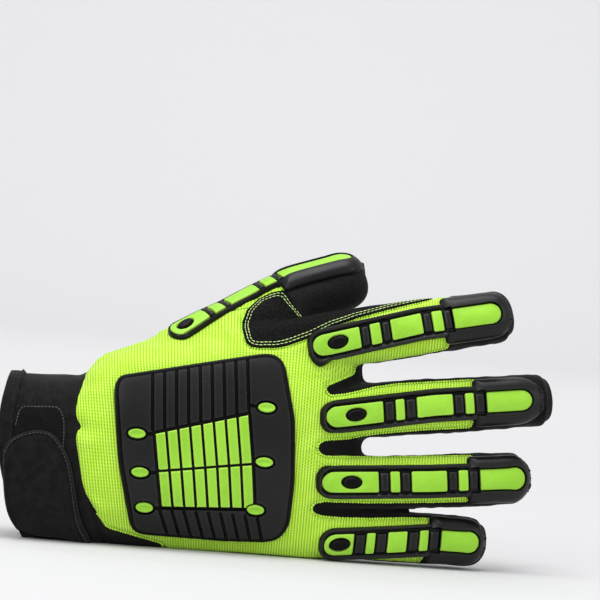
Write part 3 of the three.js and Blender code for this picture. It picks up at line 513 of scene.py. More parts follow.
def cut(points, tris, value, only=None, snap=0.14, data=None):
    """Cuts triangles along the zero line of a value given at the points.

    Returns points, triangles, each triangle's side, and data carried over with the triangles."""
    value = value.copy()
    use = np.ones(len(tris), bool) if only is None else only
    sorted_pairs, _ = edges_of(tris[use])
    a, b = sorted_pairs.T
    crossing = value[a] * value[b] < 0
    t = value[a[crossing]] / (value[a[crossing]] - value[b[crossing]])
    value[a[crossing][t < snap]] = 0
    value[b[crossing][t > 1 - snap]] = 0
    s = np.sign(value[tris]).astype(int)
    spans = use & (s.max(1) > 0) & (s.min(1) < 0)
    whole = tris[~spans]
    side = [np.where(s[~spans].sum(1) > 0, 1, -1)]
    if not spans.any():
        return points, tris, side[0], data
    split, ss = tris[spans], s[spans]
    pair_sorted, _ = edges_of(split)
    pair_cross = value[pair_sorted[:, 0]] * value[pair_sorted[:, 1]] < 0
    unique, inverse = np.unique(pair_sorted[pair_cross], axis=0, return_inverse=True)
    inverse = inverse.reshape(-1)
    va, vb = value[unique[:, 0]], value[unique[:, 1]]
    t = (va / (va - vb))[:, None]
    new_points = points[unique[:, 0]] * (1 - t) + points[unique[:, 1]] * t
    number = np.full(len(pair_sorted), -1)
    number[pair_cross] = inverse + len(points)
    number = number.reshape(3, -1).T  # new point on the edges 01, 12, 20 of each triangle
    made, made_side, made_from = [whole], side, [np.flatnonzero(~spans)]
    origin = np.flatnonzero(spans)
    zeros = (ss == 0).sum(1)
    for turn in range(3):
        i, j, k = turn, (turn + 1) % 3, (turn + 2) % 3
        one = (zeros == 1) & (ss[:, i] == 0)
        m = number[one, j]  # on the edge from j to k
        made += [np.stack([split[one, i], split[one, j], m], 1),
                 np.stack([split[one, i], m, split[one, k]], 1)]
        made_side += [ss[one, j], ss[one, k]]
        made_from += [origin[one]] * 2
        alone = (zeros == 0) & (ss[:, i] != ss[:, j]) & (ss[:, i] != ss[:, k])
        mij, mki = number[alone, i], number[alone, k]
        made += [np.stack([split[alone, i], mij, mki], 1),
                 np.stack([mij, split[alone, j], split[alone, k]], 1),
                 np.stack([mij, split[alone, k], mki], 1)]
        made_side += [ss[alone, i], ss[alone, j], ss[alone, j]]
        made_from += [origin[alone]] * 3
    source = np.concatenate(made_from)
    return (np.concatenate([points, new_points]), np.concatenate(made), np.concatenate(made_side),
            None if data is None else data[source])


def compact(points, tris, *arrays):
    """Drops the points that no triangle or edge uses, also from arrays of what each point has."""
    used = np.unique(tris)
    number = np.full(len(points), -1)
    number[used] = np.arange(len(used))
    return (points[used], number[tris], *[a[used] for a in arrays])


def largest_piece(points, tris):
    """Keeps the largest connected part."""
    label = np.arange(len(points))
    pairs = np.unique(edges_of(tris)[0], axis=0)
    while True:
        low = np.minimum(label[pairs[:, 0]], label[pairs[:, 1]])
        new = label.copy()
        np.minimum.at(new, pairs[:, 0], low)
        np.minimum.at(new, pairs[:, 1], low)
        new = new[new]
        if (new == label).all():
            break
        label = new
    ids, counts = np.unique(label[tris[:, 0]], return_counts=True)
    return tris[label[tris[:, 0]] == ids[counts.argmax()]]


def border_of(tris):
    """Directed edges that only one triangle has."""
    ordered, pairs = edges_of(tris)
    _, first, counts = np.unique(ordered, axis=0, return_index=True, return_counts=True)
    return pairs[first[counts == 1]]


def thickened(points, tris, inner):
    """A closed body between a surface and its inner copy."""
    n = len(points)
    rim = border_of(tris)
    walls = np.concatenate([np.stack([rim[:, 1], rim[:, 0], rim[:, 0] + n], 1),
                            np.stack([rim[:, 1], rim[:, 0] + n, rim[:, 1] + n], 1)])
    return np.concatenate([points, inner]), np.concatenate([tris, tris[:, ::-1] + n, walls])


def placed(name, data):
    """An object for a mesh, a light or a camera, in the scene."""
    made = bpy.data.objects.new(name, data)
    bpy.context.scene.collection.objects.link(made)
    return made


def make_object(name, points, tris, material, uv=None, sharp=None, shade=None):
    """A mesh object in the frame's metres from points in the part's millimetres."""
    mesh = bpy.data.meshes.new(name)
    n, m = len(points), len(tris)
    mesh.vertices.add(n)
    mesh.vertices.foreach_set("co", ((points - ORIGIN) * MM).astype(np.float32).ravel())
    mesh.loops.add(3 * m)
    mesh.loops.foreach_set("vertex_index", tris.astype(np.int32).ravel())
    mesh.polygons.add(m)
    mesh.polygons.foreach_set("loop_start", np.arange(0, 3 * m, 3, dtype=np.int32))
    mesh.polygons.foreach_set("loop_total", np.full(m, 3, dtype=np.int32))
    mesh.polygons.foreach_set("use_smooth", np.full(m, True))
    mesh.update(calc_edges=True)
    mesh.validate()
    if uv is not None:
        layer = mesh.uv_layers.new(name="weave")
        layer.data.foreach_set("uv", uv[tris.ravel()].astype(np.float32).ravel())
    if shade is not None:
        mesh.attributes.new("shade", "FLOAT", "POINT").data.foreach_set("value", shade.astype(np.float32))
    if sharp is not None:
        mesh.set_sharp_from_angle(angle=math.radians(sharp))
    mesh.materials.append(material)
    return placed(name, mesh)


def finished(piece, node=None):
    """Says what a piece rides on and, unless it is an addition, stands for."""
    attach(piece, "root")
    if node:
        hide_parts(node)
    return piece


# Materials
def per_metre(size):
    """How many times a pattern of a size in millimetres repeats in a metre."""
    return 1000 / size


def linear(code):
    """sRGB hex to linear colour."""
    parts = [int(code[i:i + 2], 16) / 255 for i in (1, 3, 5)]
    return [c / 12.92 if c <= 0.04045 else ((c + 0.055) / 1.055) ** 2.4 for c in parts] + [1.0]


def fill(tree, node, inputs):
    """Fills a node's sockets, each with a value or another node's output."""
    for key, value in inputs.items():
        if isinstance(value, bpy.types.NodeSocket):
            tree.links.new(value, node.inputs[key])
        else:
            node.inputs[key].default_value = value


def add(tree, kind, inputs=None, **settings):
    """Adds a node with its settings and what goes into its sockets."""
    made = tree.nodes.new(kind)
    for key, value in settings.items():
        setattr(made, key, value)
    fill(tree, made, inputs or {})
    return made


def new_material(name):
    material = bpy.data.materials.new(name)
    material.use_nodes = True
    tree = material.node_tree
    tree.nodes.clear()
    shader = add(tree, "ShaderNodeBsdfPrincipled")
    add(tree, "ShaderNodeOutputMaterial", {"Surface": shader.outputs[0]})
    return material, tree, shader


RIB = 1.4  # mm between the ribs of the knit
ROW = 1.05  # mm between the loops along a rib


def lime_knit():
    """Rib-knitted fluorescent polyester: soft bright ribs, with painted shade in their valleys and rows of
    fine holes.
    """
    material, tree, shader = new_material("fluorescent_rib_knit")
    weave = add(tree, "ShaderNodeUVMap", uv_map="weave").outputs[0]
    place = add(tree, "ShaderNodeTexCoord").outputs["Object"]
    parts = add(tree, "ShaderNodeSeparateXYZ", {0: weave}).outputs
    wander = add(tree, "ShaderNodeTexNoise",
                 {"Vector": place, "Scale": per_metre(16.67), "Detail": 2.0}).outputs[0]
    across = add(tree, "ShaderNodeMath",
                 {0: wander, 1: 0.5, 2: parts[0]}, operation="MULTIPLY_ADD").outputs[0]
    turn = add(tree, "ShaderNodeMath", {0: across, 1: math.tau / RIB}, operation="MULTIPLY").outputs[0]
    rib = add(tree, "ShaderNodeMath", {0: turn}, operation="COSINE").outputs[0]
    turn = add(tree, "ShaderNodeMath", {0: parts[1], 1: math.tau / ROW}, operation="MULTIPLY").outputs[0]
    row = add(tree, "ShaderNodeMath", {0: turn}, operation="COSINE").outputs[0]
    ridge = add(tree, "ShaderNodeMapRange", {0: rib, 1: -1.0, 2: 0.6}).outputs[0]
    valley = add(tree, "ShaderNodeMapRange", {0: rib, 1: -0.25, 2: -0.95}).outputs[0]
    between_rows = add(tree, "ShaderNodeMapRange", {0: row, 1: -0.1, 2: 0.8}).outputs[0]
    hole = add(tree, "ShaderNodeMath", {0: valley, 1: between_rows}, operation="MULTIPLY").outputs[0]
    mottled = add(tree, "ShaderNodeTexNoise",
                  {"Vector": place, "Scale": per_metre(9.09), "Detail": 4.0}).outputs[0]
    clouds = add(tree, "ShaderNodeMapRange", {0: mottled, 1: 0.35, 2: 0.65}).outputs[0]
    crests = {0: clouds, 6: linear("#c2f242"), 7: linear("#cffb57")}
    crest = add(tree, "ShaderNodeMix", crests, data_type="RGBA").outputs[2]
    # Painted shade: the valleys between the ribs are mixed to a darker lime.
    valley_shaded = add(tree, "ShaderNodeMix",
                 {0: ridge, 6: linear("#a4d834"), 7: crest}, data_type="RGBA").outputs[2]
    # Painted shade: the rows of fine holes are mixed to a dark green.
    depth = add(tree, "ShaderNodeMath", {0: hole, 1: 0.8}, operation="MULTIPLY").outputs[0]
    colour = add(tree, "ShaderNodeMix",
                 {0: depth, 6: valley_shaded, 7: linear("#618c1c")}, data_type="RGBA").outputs[2]
    sunk = add(tree, "ShaderNodeMath", {0: hole, 1: -0.8, 2: ridge}, operation="MULTIPLY_ADD").outputs[0]
    height = add(tree, "ShaderNodeMath", {0: row, 1: 0.16, 2: sunk}, operation="MULTIPLY_ADD").outputs[0]
    bump = add(tree, "ShaderNodeBump", {"Strength": 0.6, "Distance": 0.35 * MM, "Height": height}).outputs[0]
    fill(tree, shader, {
        "Base Color": colour, "Normal": bump, "Roughness": 0.85, "Specular IOR Level": 0.25,
        "Sheen Weight": 0.5, "Sheen Roughness": 0.5, "Sheen Tint": linear("#e6ff9a"),
    })
    return material


def black_leather(name, colour, pale_tone, shine):
    """Coated synthetic leather: dull black with a fine pebbled grain and slightly rubbed high spots."""
    material, tree, shader = new_material(name)
    place = add(tree, "ShaderNodeTexCoord").outputs["Object"]
    grains = {"Vector": place, "Scale": per_metre(0.909)}
    grain = add(tree, "ShaderNodeTexVoronoi", grains, feature="SMOOTH_F1").outputs[0]
    fine = add(tree, "ShaderNodeTexNoise",
               {"Vector": place, "Scale": per_metre(0.4167), "Detail": 2.0}).outputs[0]
    mottled = add(tree, "ShaderNodeTexNoise",
                  {"Vector": place, "Scale": per_metre(14.29), "Detail": 4.0}).outputs[0]
    pebble = add(tree, "ShaderNodeMath", {0: fine, 1: 0.45, 2: grain}, operation="MULTIPLY_ADD").outputs[0]
    clouds = add(tree, "ShaderNodeMapRange", {0: mottled, 1: 0.35, 2: 0.7}).outputs[0]
    dull = add(tree, "ShaderNodeMix",
               {0: clouds, 6: linear(colour), 7: linear(pale_tone)}, data_type="RGBA").outputs[2]
    tops = add(tree, "ShaderNodeMapRange", {0: pebble, 1: 0.8, 2: 0.3, 4: 0.55}).outputs[0]
    pale_on_raised = add(tree, "ShaderNodeMix", {0: tops, 6: dull, 7: linear("#232422")}, data_type="RGBA").outputs[2]
    rough = add(tree, "ShaderNodeMapRange", {0: mottled, 1: 0.3, 2: 0.7, 3: 0.66, 4: 0.78}).outputs[0]
    relief = {"Strength": 0.55, "Distance": 0.24 * MM, "Height": pebble}
    bump = add(tree, "ShaderNodeBump", relief, invert=True).outputs[0]
    fill(tree, shader,
         {"Base Color": pale_on_raised, "Roughness": rough, "Normal": bump, "Specular IOR Level": shine})
    return material


def black_stretch(name, colour, light, thread_mm):
    """Matt woven or knitted black fabric with a very fine twill, for gussets, cuff and strap."""
    material, tree, shader = new_material(name)
    place = add(tree, "ShaderNodeTexCoord").outputs["Object"]
    parts = add(tree, "ShaderNodeSeparateXYZ", {0: place}).outputs
    rate = math.tau * per_metre(thread_mm)
    rising = add(tree, "ShaderNodeMath", {0: parts[0], 1: parts[2]}, operation="ADD").outputs[0]
    falling = add(tree, "ShaderNodeMath", {0: parts[2], 1: parts[0]}, operation="SUBTRACT").outputs[0]
    turn = add(tree, "ShaderNodeMath", {0: rising, 1: rate}, operation="MULTIPLY").outputs[0]
    warp = add(tree, "ShaderNodeMath", {0: turn}, operation="SINE").outputs[0]
    turn = add(tree, "ShaderNodeMath", {0: falling, 1: rate}, operation="MULTIPLY").outputs[0]
    weft = add(tree, "ShaderNodeMath", {0: turn}, operation="SINE").outputs[0]
    weave = add(tree, "ShaderNodeMath", {0: warp, 1: weft}, operation="MULTIPLY").outputs[0]
    mottled = add(tree, "ShaderNodeTexNoise",
                  {"Vector": place, "Scale": per_metre(3.846), "Detail": 4.0}).outputs[0]
    fluff = add(tree, "ShaderNodeTexNoise",
                {"Vector": place, "Scale": per_metre(1.111), "Detail": 3.0}).outputs[0]
    both = add(tree, "ShaderNodeMath", {0: fluff, 1: 0.6, 2: mottled}, operation="MULTIPLY_ADD").outputs[0]
    clouds = add(tree, "ShaderNodeMapRange", {0: both, 1: 0.6, 2: 1.0}).outputs[0]
    dyed = add(tree, "ShaderNodeMix",
               {0: clouds, 6: linear(colour), 7: linear(light)}, data_type="RGBA").outputs[2]
    height = add(tree, "ShaderNodeMath", {0: weave, 1: 0.5, 2: fluff}, operation="MULTIPLY_ADD").outputs[0]
    depth = 0.18 * thread_mm * MM
    bump = add(tree, "ShaderNodeBump", {"Strength": 0.45, "Distance": depth, "Height": height}).outputs[0]
    fill(tree, shader, {
        "Base Color": dyed, "Normal": bump, "Roughness": 0.9, "Specular IOR Level": 0.15,
        "Sheen Weight": 0.08, "Sheen Roughness": 0.45,
    })
    return material


def moulded_rubber(name, colour, light, pale_tone, painted_light_colour, rough, gloss):
    """Injection-moulded thermoplastic rubber: satin, with specks of dust and a painted highlight on its sharp
    edges.

    The point attribute shade paints light on: darker, duller painted shade in black grooves, a painted
    highlight on lime edges."""
    material, tree, shader = new_material(name)
    place = add(tree, "ShaderNodeTexCoord").outputs["Object"]
    mottled = add(tree, "ShaderNodeTexNoise",
                  {"Vector": place, "Scale": per_metre(22.22), "Detail": 5.0}).outputs[0]
    grit = add(tree, "ShaderNodeTexNoise",
               {"Vector": place, "Scale": per_metre(0.6667), "Detail": 2.0}).outputs[0]
    dust = add(tree, "ShaderNodeTexVoronoi", {"Vector": place, "Scale": per_metre(3.333)}).outputs[0]
    clouds = add(tree, "ShaderNodeMapRange", {0: mottled, 1: 0.3, 2: 0.7}).outputs[0]
    satin = add(tree, "ShaderNodeMix",
                {0: clouds, 6: linear(colour), 7: linear(light)}, data_type="RGBA").outputs[2]
    specks = add(tree, "ShaderNodeMapRange", {0: dust, 1: 0.085, 2: 0.05, 4: 0.35}).outputs[0]
    dusty = add(tree, "ShaderNodeMix", {0: specks, 6: satin, 7: linear(pale_tone)}, data_type="RGBA").outputs[2]
    # Painted highlight: sharp edges are mixed towards the pale tone that also colours the dust specks.
    edge = add(tree, "ShaderNodeNewGeometry").outputs["Pointiness"]
    edge_highlight = add(tree, "ShaderNodeMapRange", {0: edge, 1: 0.5, 2: 0.62, 4: 0.16}).outputs[0]
    pale_on_raised = add(tree, "ShaderNodeMix", {0: edge_highlight, 6: dusty, 7: linear(pale_tone)}, data_type="RGBA").outputs[2]
    roughness = add(tree, "ShaderNodeMapRange",
                    {0: mottled, 1: 0.3, 2: 0.7, 3: rough, 4: rough + 0.1}).outputs[0]
    bump = add(tree, "ShaderNodeBump", {"Strength": 0.25, "Distance": 0.08 * MM, "Height": grit}).outputs[0]
    # Painted light: the shade attribute mixes in painted shade on black rubber and a painted highlight on
    # lime rubber, and dulls the shine with it.
    shade = add(tree, "ShaderNodeAttribute", attribute_name="shade").outputs["Fac"]
    shaded = add(tree, "ShaderNodeMix",
                 {0: shade, 6: pale_on_raised, 7: linear(painted_light_colour)}, data_type="RGBA").outputs[2]
    shine = add(tree, "ShaderNodeMapRange", {0: shade, 3: gloss, 4: 0.3 * gloss}).outputs[0]
    fill(tree, shader,
         {"Base Color": shaded, "Roughness": roughness, "Normal": bump, "Specular IOR Level": shine})
    return material


def sewing_thread(name, colour, light):
    """Spun polyester thread: slightly fuzzy, with a soft shine along its twist."""
    material, tree, shader = new_material(name)
    place = add(tree, "ShaderNodeTexCoord").outputs["Object"]
    twist = add(tree, "ShaderNodeTexNoise",
                {"Vector": place, "Scale": per_metre(0.5556), "Detail": 2.0}).outputs[0]
    strands = add(tree, "ShaderNodeMapRange", {0: twist, 1: 0.35, 2: 0.65}).outputs[0]
    dyed = add(tree, "ShaderNodeMix",
               {0: strands, 6: linear(colour), 7: linear(light)}, data_type="RGBA").outputs[2]
    fill(tree, shader, {"Base Color": dyed, "Roughness": 0.6, "Sheen Weight": 0.2})
    return material


KNIT = lime_knit()
LEATHER = black_leather("synthetic_leather", "#070807", "#0f100e", 0.2)
PATCH_LEATHER = black_leather("smooth_synthetic_leather", "#030403", "#070806", 0.07)
GUSSET = black_stretch("stretch_fabric", "#060706", "#0e0f0e", 0.9)
NEOPRENE = black_stretch("fabric_faced_neoprene", "#0c0c0c", "#191919", 1.1)
BINDING = black_stretch("woven_binding", "#0a0a0a", "#191a19", 2.4)
LOOP_PILE = black_stretch("loop_pile", "#060606", "#0d0e0d", 1.6)
# Each rubber's third colour tints its dust specks and painted edge highlight; its fourth is painted shade on
# the black, a painted highlight on the lime.
BLACK_RUBBER = moulded_rubber("satin_black_rubber", "#0a0b0b", "#101111", "#5c5e5a", "#030303", 0.31, 0.28)
LIME_RUBBER = moulded_rubber("satin_lime_rubber", "#8cc928", "#9bd836", "#d9ff8a", "#c3f060", 0.42, 0.4)
LIME_THREAD = sewing_thread("pale_lime_thread", "#b9dd7a", "#dcf7a6")
DARK_THREAD = sewing_thread("charcoal_thread", "#2a2b29", "#454643")


# The panels of the skin
def digit_rules(p):
    """For each finger and the thumb: distance along it, round it from its strip, and from its middle."""
    rules = {}
    for name, digit in DIGITS.items():
        s, side, out = digit.coordinates(p)
        rules[name] = (s, ROUND * np.arctan2(side, out), np.hypot(side, out))
    return rules


def finger_z(i, x):
    """Height of a finger's middle line at x, seen from the back."""
    _, root_x, root_z, heading = FINGERS[i][:4]
    return root_z + (x - root_x) * math.tan(math.radians(heading))


def knit_rule(p, rules):
    """Positive on the knit: the hand's back and its upper edge, and the back of each finger."""
    x, y, z = p.T
    lift = y - middle_y(x, z)
    upper_edge = np.minimum(inside_polygon(KNIT_UPPER_EDGE, x, z), KNIT_OVER_TOP - y)
    on_hand = np.maximum(BACK_SEAM - lift, upper_edge)
    on_finger = np.full(len(p), FAR)
    for row in FINGERS:
        s, across, away = rules[row[0]]
        rule = np.minimum(KNIT_HALF - np.abs(across), KNIT_ENDS[row[0]] - s + KNIT_END_SLANT * across)
        rule = np.where(s > FREE_FROM, np.minimum(rule, FREE_HALF - away), rule)
        on_finger = np.maximum(on_finger, rule)
    share = ease((x - KNIT_TURNS[0]) / KNIT_TURNS[1])
    value = on_hand * (1 - share) + on_finger * share
    for notch in NOTCHES:
        value = np.where(lift < NOTCH_DEPTH, np.minimum(value, -inside_polygon(notch, x, z)), value)
    return np.minimum(value, -inside_polygon(HEEL, x, z))


def near_side(p, short):
    """How far a point lies on the thumb's side that faces the index finger."""
    return (p - THUMB_MIDDLE) @ THUMB_FACING - short


def patch_rule(p):
    """Positive on the leather patch over the web and the thumb's facing side."""
    x, y, z = p.T
    past = np.maximum(0, x - CURL_FROM)
    on_web = PATCH_ON_WEB + past**2 / (2 * CURL_RADIUS) - y
    end = PATCH_ON_THUMB - (p - THUMB_MIDDLE) @ unit(THUMB_ALONG)
    on_thumb = np.minimum(near_side(p, PATCH_SHORT), end)
    return np.minimum(inside_polygon(WEB_PATCH, x, z), np.maximum(on_web, on_thumb))


def thumb_rule(p):
    """Positive on the thumb: past its seam, and nearer to the thumb than to the rest of the glove."""
    past = (p - THUMB_SEAM) @ unit(THUMB_ALONG)
    nearer = sample(BODY_FIELD, p) - DIGITS["thumb"].field(p)
    return np.minimum(past, nearer + 0.5)


def opening_rule(p):
    """Positive inside the wrist opening, where the skin closes the field and no fabric is."""
    return np.minimum(-3.2 - hand_field(p), edge_x(CUFF_SEAM, p[:, 2]) + 3 - p[:, 0])


def thumb_knit_rule(p):
    s, side, out = DIGITS["thumb"].coordinates(p)
    round_top = THUMB_KNIT_HALF - np.abs(ROUND * np.arctan2(side, out))
    return np.minimum(np.maximum(round_top, near_side(p, 0)), KNIT_ENDS["thumb"] - s)


def gusset_rule(p, i):
    """Positive between the middle lines of two neighbouring fingers, over their facing sides."""
    x, y, z = p.T
    rule = np.minimum(finger_z(i, x) - z, z - finger_z(i + 1, x))
    rule = np.minimum(rule, PALM_SEAM - (y - middle_y(x, z)))
    for row in FINGERS[i:i + 2]:
        s, side, _ = DIGITS[row[0]].coordinates(p)
        end = GUSSET_SHARE * row[4] - s
        rule = np.where(np.abs(side) < GUSSET_REACH, np.minimum(rule, end), rule)
    return rule


def leather_rule(p, i):
    """Positive on one finger's leather: past the finger seam, and half way to its neighbours."""
    x, _, z = p.T
    upper = 400 if i == 0 else (finger_z(i - 1, x) + finger_z(i, x)) / 2
    lower = -60 if i == 3 else (finger_z(i, x) + finger_z(i + 1, x)) / 2
    return np.minimum(x - FINGER_SEAM, np.minimum(upper - z, z - lower))


def build_panels():
    """Cuts the skin along its seams and returns its points, triangles and each triangle's panel name."""
    points, tris = skin_of_field(FIELD)
    points = to_skin(points)
    for _ in range(2):
        points = to_skin(relax(points, tris), 1)
    panel = np.full(len(tris), "", dtype="U20")

    def split(rule, only, name):
        """What has the name only so far, on the rule's positive side, becomes a panel of its own."""
        nonlocal points, tris, panel
        points, tris, side, panel = cut(points, tris, rule(points), panel == only, data=panel)
        panel[(panel == only) & (side > 0)] = name
        points = to_skin(points, 1)

    split(opening_rule, "", "opening")
    split(patch_rule, "", "web_patch")
    split(thumb_rule, "", "thumb")
    split(lambda p: knit_rule(p, digit_rules(p)), "", "back_knit")
    split(thumb_knit_rule, "thumb", "thumb_knit")
    for i in range(3):
        split(lambda p: gusset_rule(p, i), "", f"gusset_{FINGERS[i][0]}_{FINGERS[i + 1][0]}")
    for i, row in enumerate(FINGERS):
        split(lambda p: leather_rule(p, i), "", f"leather_{row[0]}")
    panel[panel == ""] = "palm_leather"
    panel[panel == "thumb"] = "thumb_leather"
    return points, tris, panel


GATHER_AT, GATHER_REACH, GATHER_DEPTH = 7, 7.0, 0.55  # gathers of the fabric, from the cuff's seam
PINCH_AT, PINCH_HALF, PINCH_DEPTH = 56, 3.5, 3.0  # height of the one pinch there on the back, and its size


def wrinkle(p, panel):
    """How far the stuffed fabric stands out or sinks in: soft folds everywhere, gathers next to the cuff,
    one pinch there on the back, and a little more where the panel is leather or stretch fabric."""
    x, y, z = p.T
    soft = 0.35 * bump_noise(p, 34, 3) + 0.16 * bump_noise(p, 13, 5)
    edge = x - edge_x(CUFF_SEAM, z)
    streaks = bump_noise(p * np.array([0.15, 1, 1]), 8.5, 7)
    gather = np.exp(-((edge - GATHER_AT) / GATHER_REACH) ** 2) * GATHER_DEPTH * streaks
    pinch = -PINCH_DEPTH * np.exp(-((z - PINCH_AT) / PINCH_HALF) ** 2 - (edge / 6.0) ** 2) * (y < 0)
    move = soft + gather + pinch
    if panel.startswith("palm") or panel.startswith("leather"):
        move = move + 0.35 * bump_noise(p * np.array([1, 1, 0.5]), 17, 11)
    if panel.startswith("gusset"):
        move = move - 0.5 + 0.3 * bump_noise(p, 9, 13)
    return move


SEAM_DEPTH = {  # how far a panel's edge is rolled in
    "back_knit": 0.9, "thumb_knit": 0.7, "web_patch": 0.25, "palm_leather": 0.8, "thumb_leather": 0.6,
}
PLAIN_SEAM_DEPTH = 0.5
PANEL_RISE = {"web_patch": 0.55}  # the patch is sewn on top
SEAM_ROLL, SEAM_SWELL, FOLDS_FROM = 2.4, 3.2, 5.0  # mm from a panel's edge: rolled in, swollen, and folded


def panel_surface(points, tris, panel, name):
    """One panel with its folds, its edges rolled in at the seams.

    Returns its points, triangles, outward directions, and each point's distance from its edge."""
    p, t, n = compact(points, tris[panel == name], normals_of(points, tris))
    p, t, n = compact(p, largest_piece(p, t), n)
    rim = np.unique(border_of(t))
    tree = KDTree(len(rim))
    for i, at in enumerate(p[rim]):
        tree.insert(at, i)
    tree.balance()
    away = np.array([tree.find(q)[2] for q in p])
    depth = SEAM_DEPTH.get(name, PLAIN_SEAM_DEPTH)
    swell = 0.25 * depth * np.exp(-((away - SEAM_SWELL) / 1.4) ** 2)
    roll = -depth * (1 - ease(away / SEAM_ROLL)) + swell
    move = wrinkle(p, name) * ease(away / FOLDS_FROM) + roll + PANEL_RISE.get(name, 0)
    p = p + n * move[:, None]
    p[:, 2] = np.maximum(p[:, 2], GROUND + 0.05)
    return p, t, n, away


RIB_LEAN, LEAN_TO, LEAN_OVER = 0.17, 130, 85  # how much the ribs lean at the cuff, and where that ends
WEAVE_MIDDLE, WEAVE_ROUND = 55, 55  # height and radius by which the knit goes round the hand


def weave_map(p):
    """Where each point lies on the knitted cloth: across its ribs and along them, in millimetres."""
    x, y, z = p.T
    lean = RIB_LEAN * (z - 50) * clamp((LEAN_TO - x) / LEAN_OVER)
    u = x + lean
    share = ease((x - 128) / 16)
    away, turned = [], []
    for i, row in enumerate(FINGERS):
        _, side, out = DIGITS[row[0]].coordinates(p)
        away.append(np.hypot(side, out))
        turned.append(finger_z(i, x) + ROUND * np.arctan2(side, out))
    nearest = np.argmin(np.stack(away), 0)
    on_finger = np.take_along_axis(np.stack(turned), nearest[None], 0)[0]
    depth = np.maximum(30.25 - (y - middle_y(x, z)) * 1.6, 1) + 25
    on_hand = WEAVE_MIDDLE + WEAVE_ROUND * np.arctan2(z - WEAVE_MIDDLE, depth) * 1.15
    around = on_hand * (1 - share) + on_finger * share
    return np.stack([u, around], 1)


skin_points, skin_tris, skin_panel = build_panels()
surfaces = {}
for name in sorted(set(skin_panel) - {"opening"}):
    surfaces[name] = panel_surface(skin_points, skin_tris, skin_panel, name)

PANEL_LOOK = {
    "back_knit": (KNIT, "lime_knit"), "thumb_knit": (KNIT, "lime_knit"),
    "web_patch": (PATCH_LEATHER, "black_leather"), "gusset": (GUSSET, "black_stretch"),
}
for name, (p, t, n, _) in surfaces.items():
    kind = "gusset" if name.startswith("gusset") else name
    look, slot = PANEL_LOOK.get(kind, (LEATHER, "black_leather"))
    inner = p - n * FABRIC
    inner[:, 2] = np.maximum(inner[:, 2], GROUND + 0.3)
    body, body_tris = thickened(p, t, inner)
    uv = weave_map(body) if look is KNIT else None
    finished(make_object(name + "_panel", body, body_tris, look, uv), name)


# Sewn rows and the knit's loops at its edges
PALM_ROWS = [  # lines of stitches on the palm, seen from the palm side, in x and z
    [(172.5, 92.9), (160.5, 95.5), (150.4, 91.6), (147.3, 85.2), (150.4, 80.4), (158.8, 77.4), (172.5, 82)],
    [(170.2, 59), (159.5, 63.5), (150.4, 59.6), (147.3, 52.8), (151.2, 44.5), (158.8, 41.5), (170.7, 48.8)],
    [(165.5, 27.6), (154.1, 29.8), (144.7, 28.6), (141.1, 24.3), (144.7, 19.5), (154.1, 17), (166, 21.2)],
    [(137.4, 106), (139, 85.2), (141.1, 64.6), (137.7, 44.5), (131.7, 24.5), (128.1, 17.3), (122.4, 9)],
    [(136.4, 104.5), (127, 91.6), (113.5, 81.2), (96, 74), (76, 70), (52, 69)],
    [(131.2, 24.8), (103.1, 26), (74, 28.9), (41.2, 30.8)],
]
CROSS_ROWS = [201, 209.7, 206.6, 194]  # x of the row across each finger's front
ROW_GAP = 1.9  # mm between the two lines of a double row
DOUBLE = (-ROW_GAP / 2, ROW_GAP / 2)
LIME_STITCH = (2.0, 0.42, 0.34)  # length, width and thickness of a stitch
STITCH_LIFT = 0.12  # how far its middle lies out of the fabric


def stitch_tree():
    """Node tree that lays small rounded stitches along paths, no two of quite the same size."""
    tree = bpy.data.node_groups.new("stitches_along_paths", "GeometryNodeTree")
    sockets = (("Paths", "NodeSocketGeometry"), ("Pitch", "NodeSocketFloat"), ("Size", "NodeSocketVector"),
               ("Seed", "NodeSocketInt"), ("Thread", "NodeSocketMaterial"))
    for name, kind in sockets:
        tree.interface.new_socket(name=name, in_out="INPUT", socket_type=kind)
    tree.interface.new_socket(name="Stitches", in_out="OUTPUT", socket_type="NodeSocketGeometry")
    given = add(tree, "NodeGroupInput").outputs
    curve = add(tree, "GeometryNodeMeshToCurve", {"Mesh": given["Paths"]}).outputs[0]
    spacing = {"Curve": curve, "Length": given["Pitch"]}
    even = add(tree, "GeometryNodeResampleCurve", spacing, mode="LENGTH").outputs[0]
    along = add(tree, "GeometryNodeInputTangent").outputs[0]
    named = {"Name": "outward"}
    outward = add(tree, "GeometryNodeInputNamedAttribute", named, data_type="FLOAT_VECTOR").outputs[0]
    turn = add(tree, "FunctionNodeAxesToRotation",
               {0: along, 1: outward}, primary_axis="X", secondary_axis="Z").outputs[0]
    uneven = add(tree, "FunctionNodeRandomValue", {2: 0.88, 3: 1.12, "Seed": given["Seed"]}).outputs[1]
    size = add(tree, "ShaderNodeVectorMath",
               {0: given["Size"], "Scale": uneven}, operation="SCALE").outputs[0]
    stitch = add(tree, "GeometryNodeMeshUVSphere", {"Segments": 8, "Rings": 5, "Radius": 0.5}).outputs[0]
    stitches = {"Points": even, "Instance": stitch, "Rotation": turn, "Scale": size}
    laid = add(tree, "GeometryNodeInstanceOnPoints", stitches).outputs[0]
    real = add(tree, "GeometryNodeRealizeInstances", {0: laid}).outputs[0]
    thread = add(tree, "GeometryNodeSetMaterial", {"Geometry": real, "Material": given["Thread"]}).outputs[0]
    add(tree, "NodeGroupOutput", {0: thread})
    return tree


STITCH_TREE = stitch_tree()


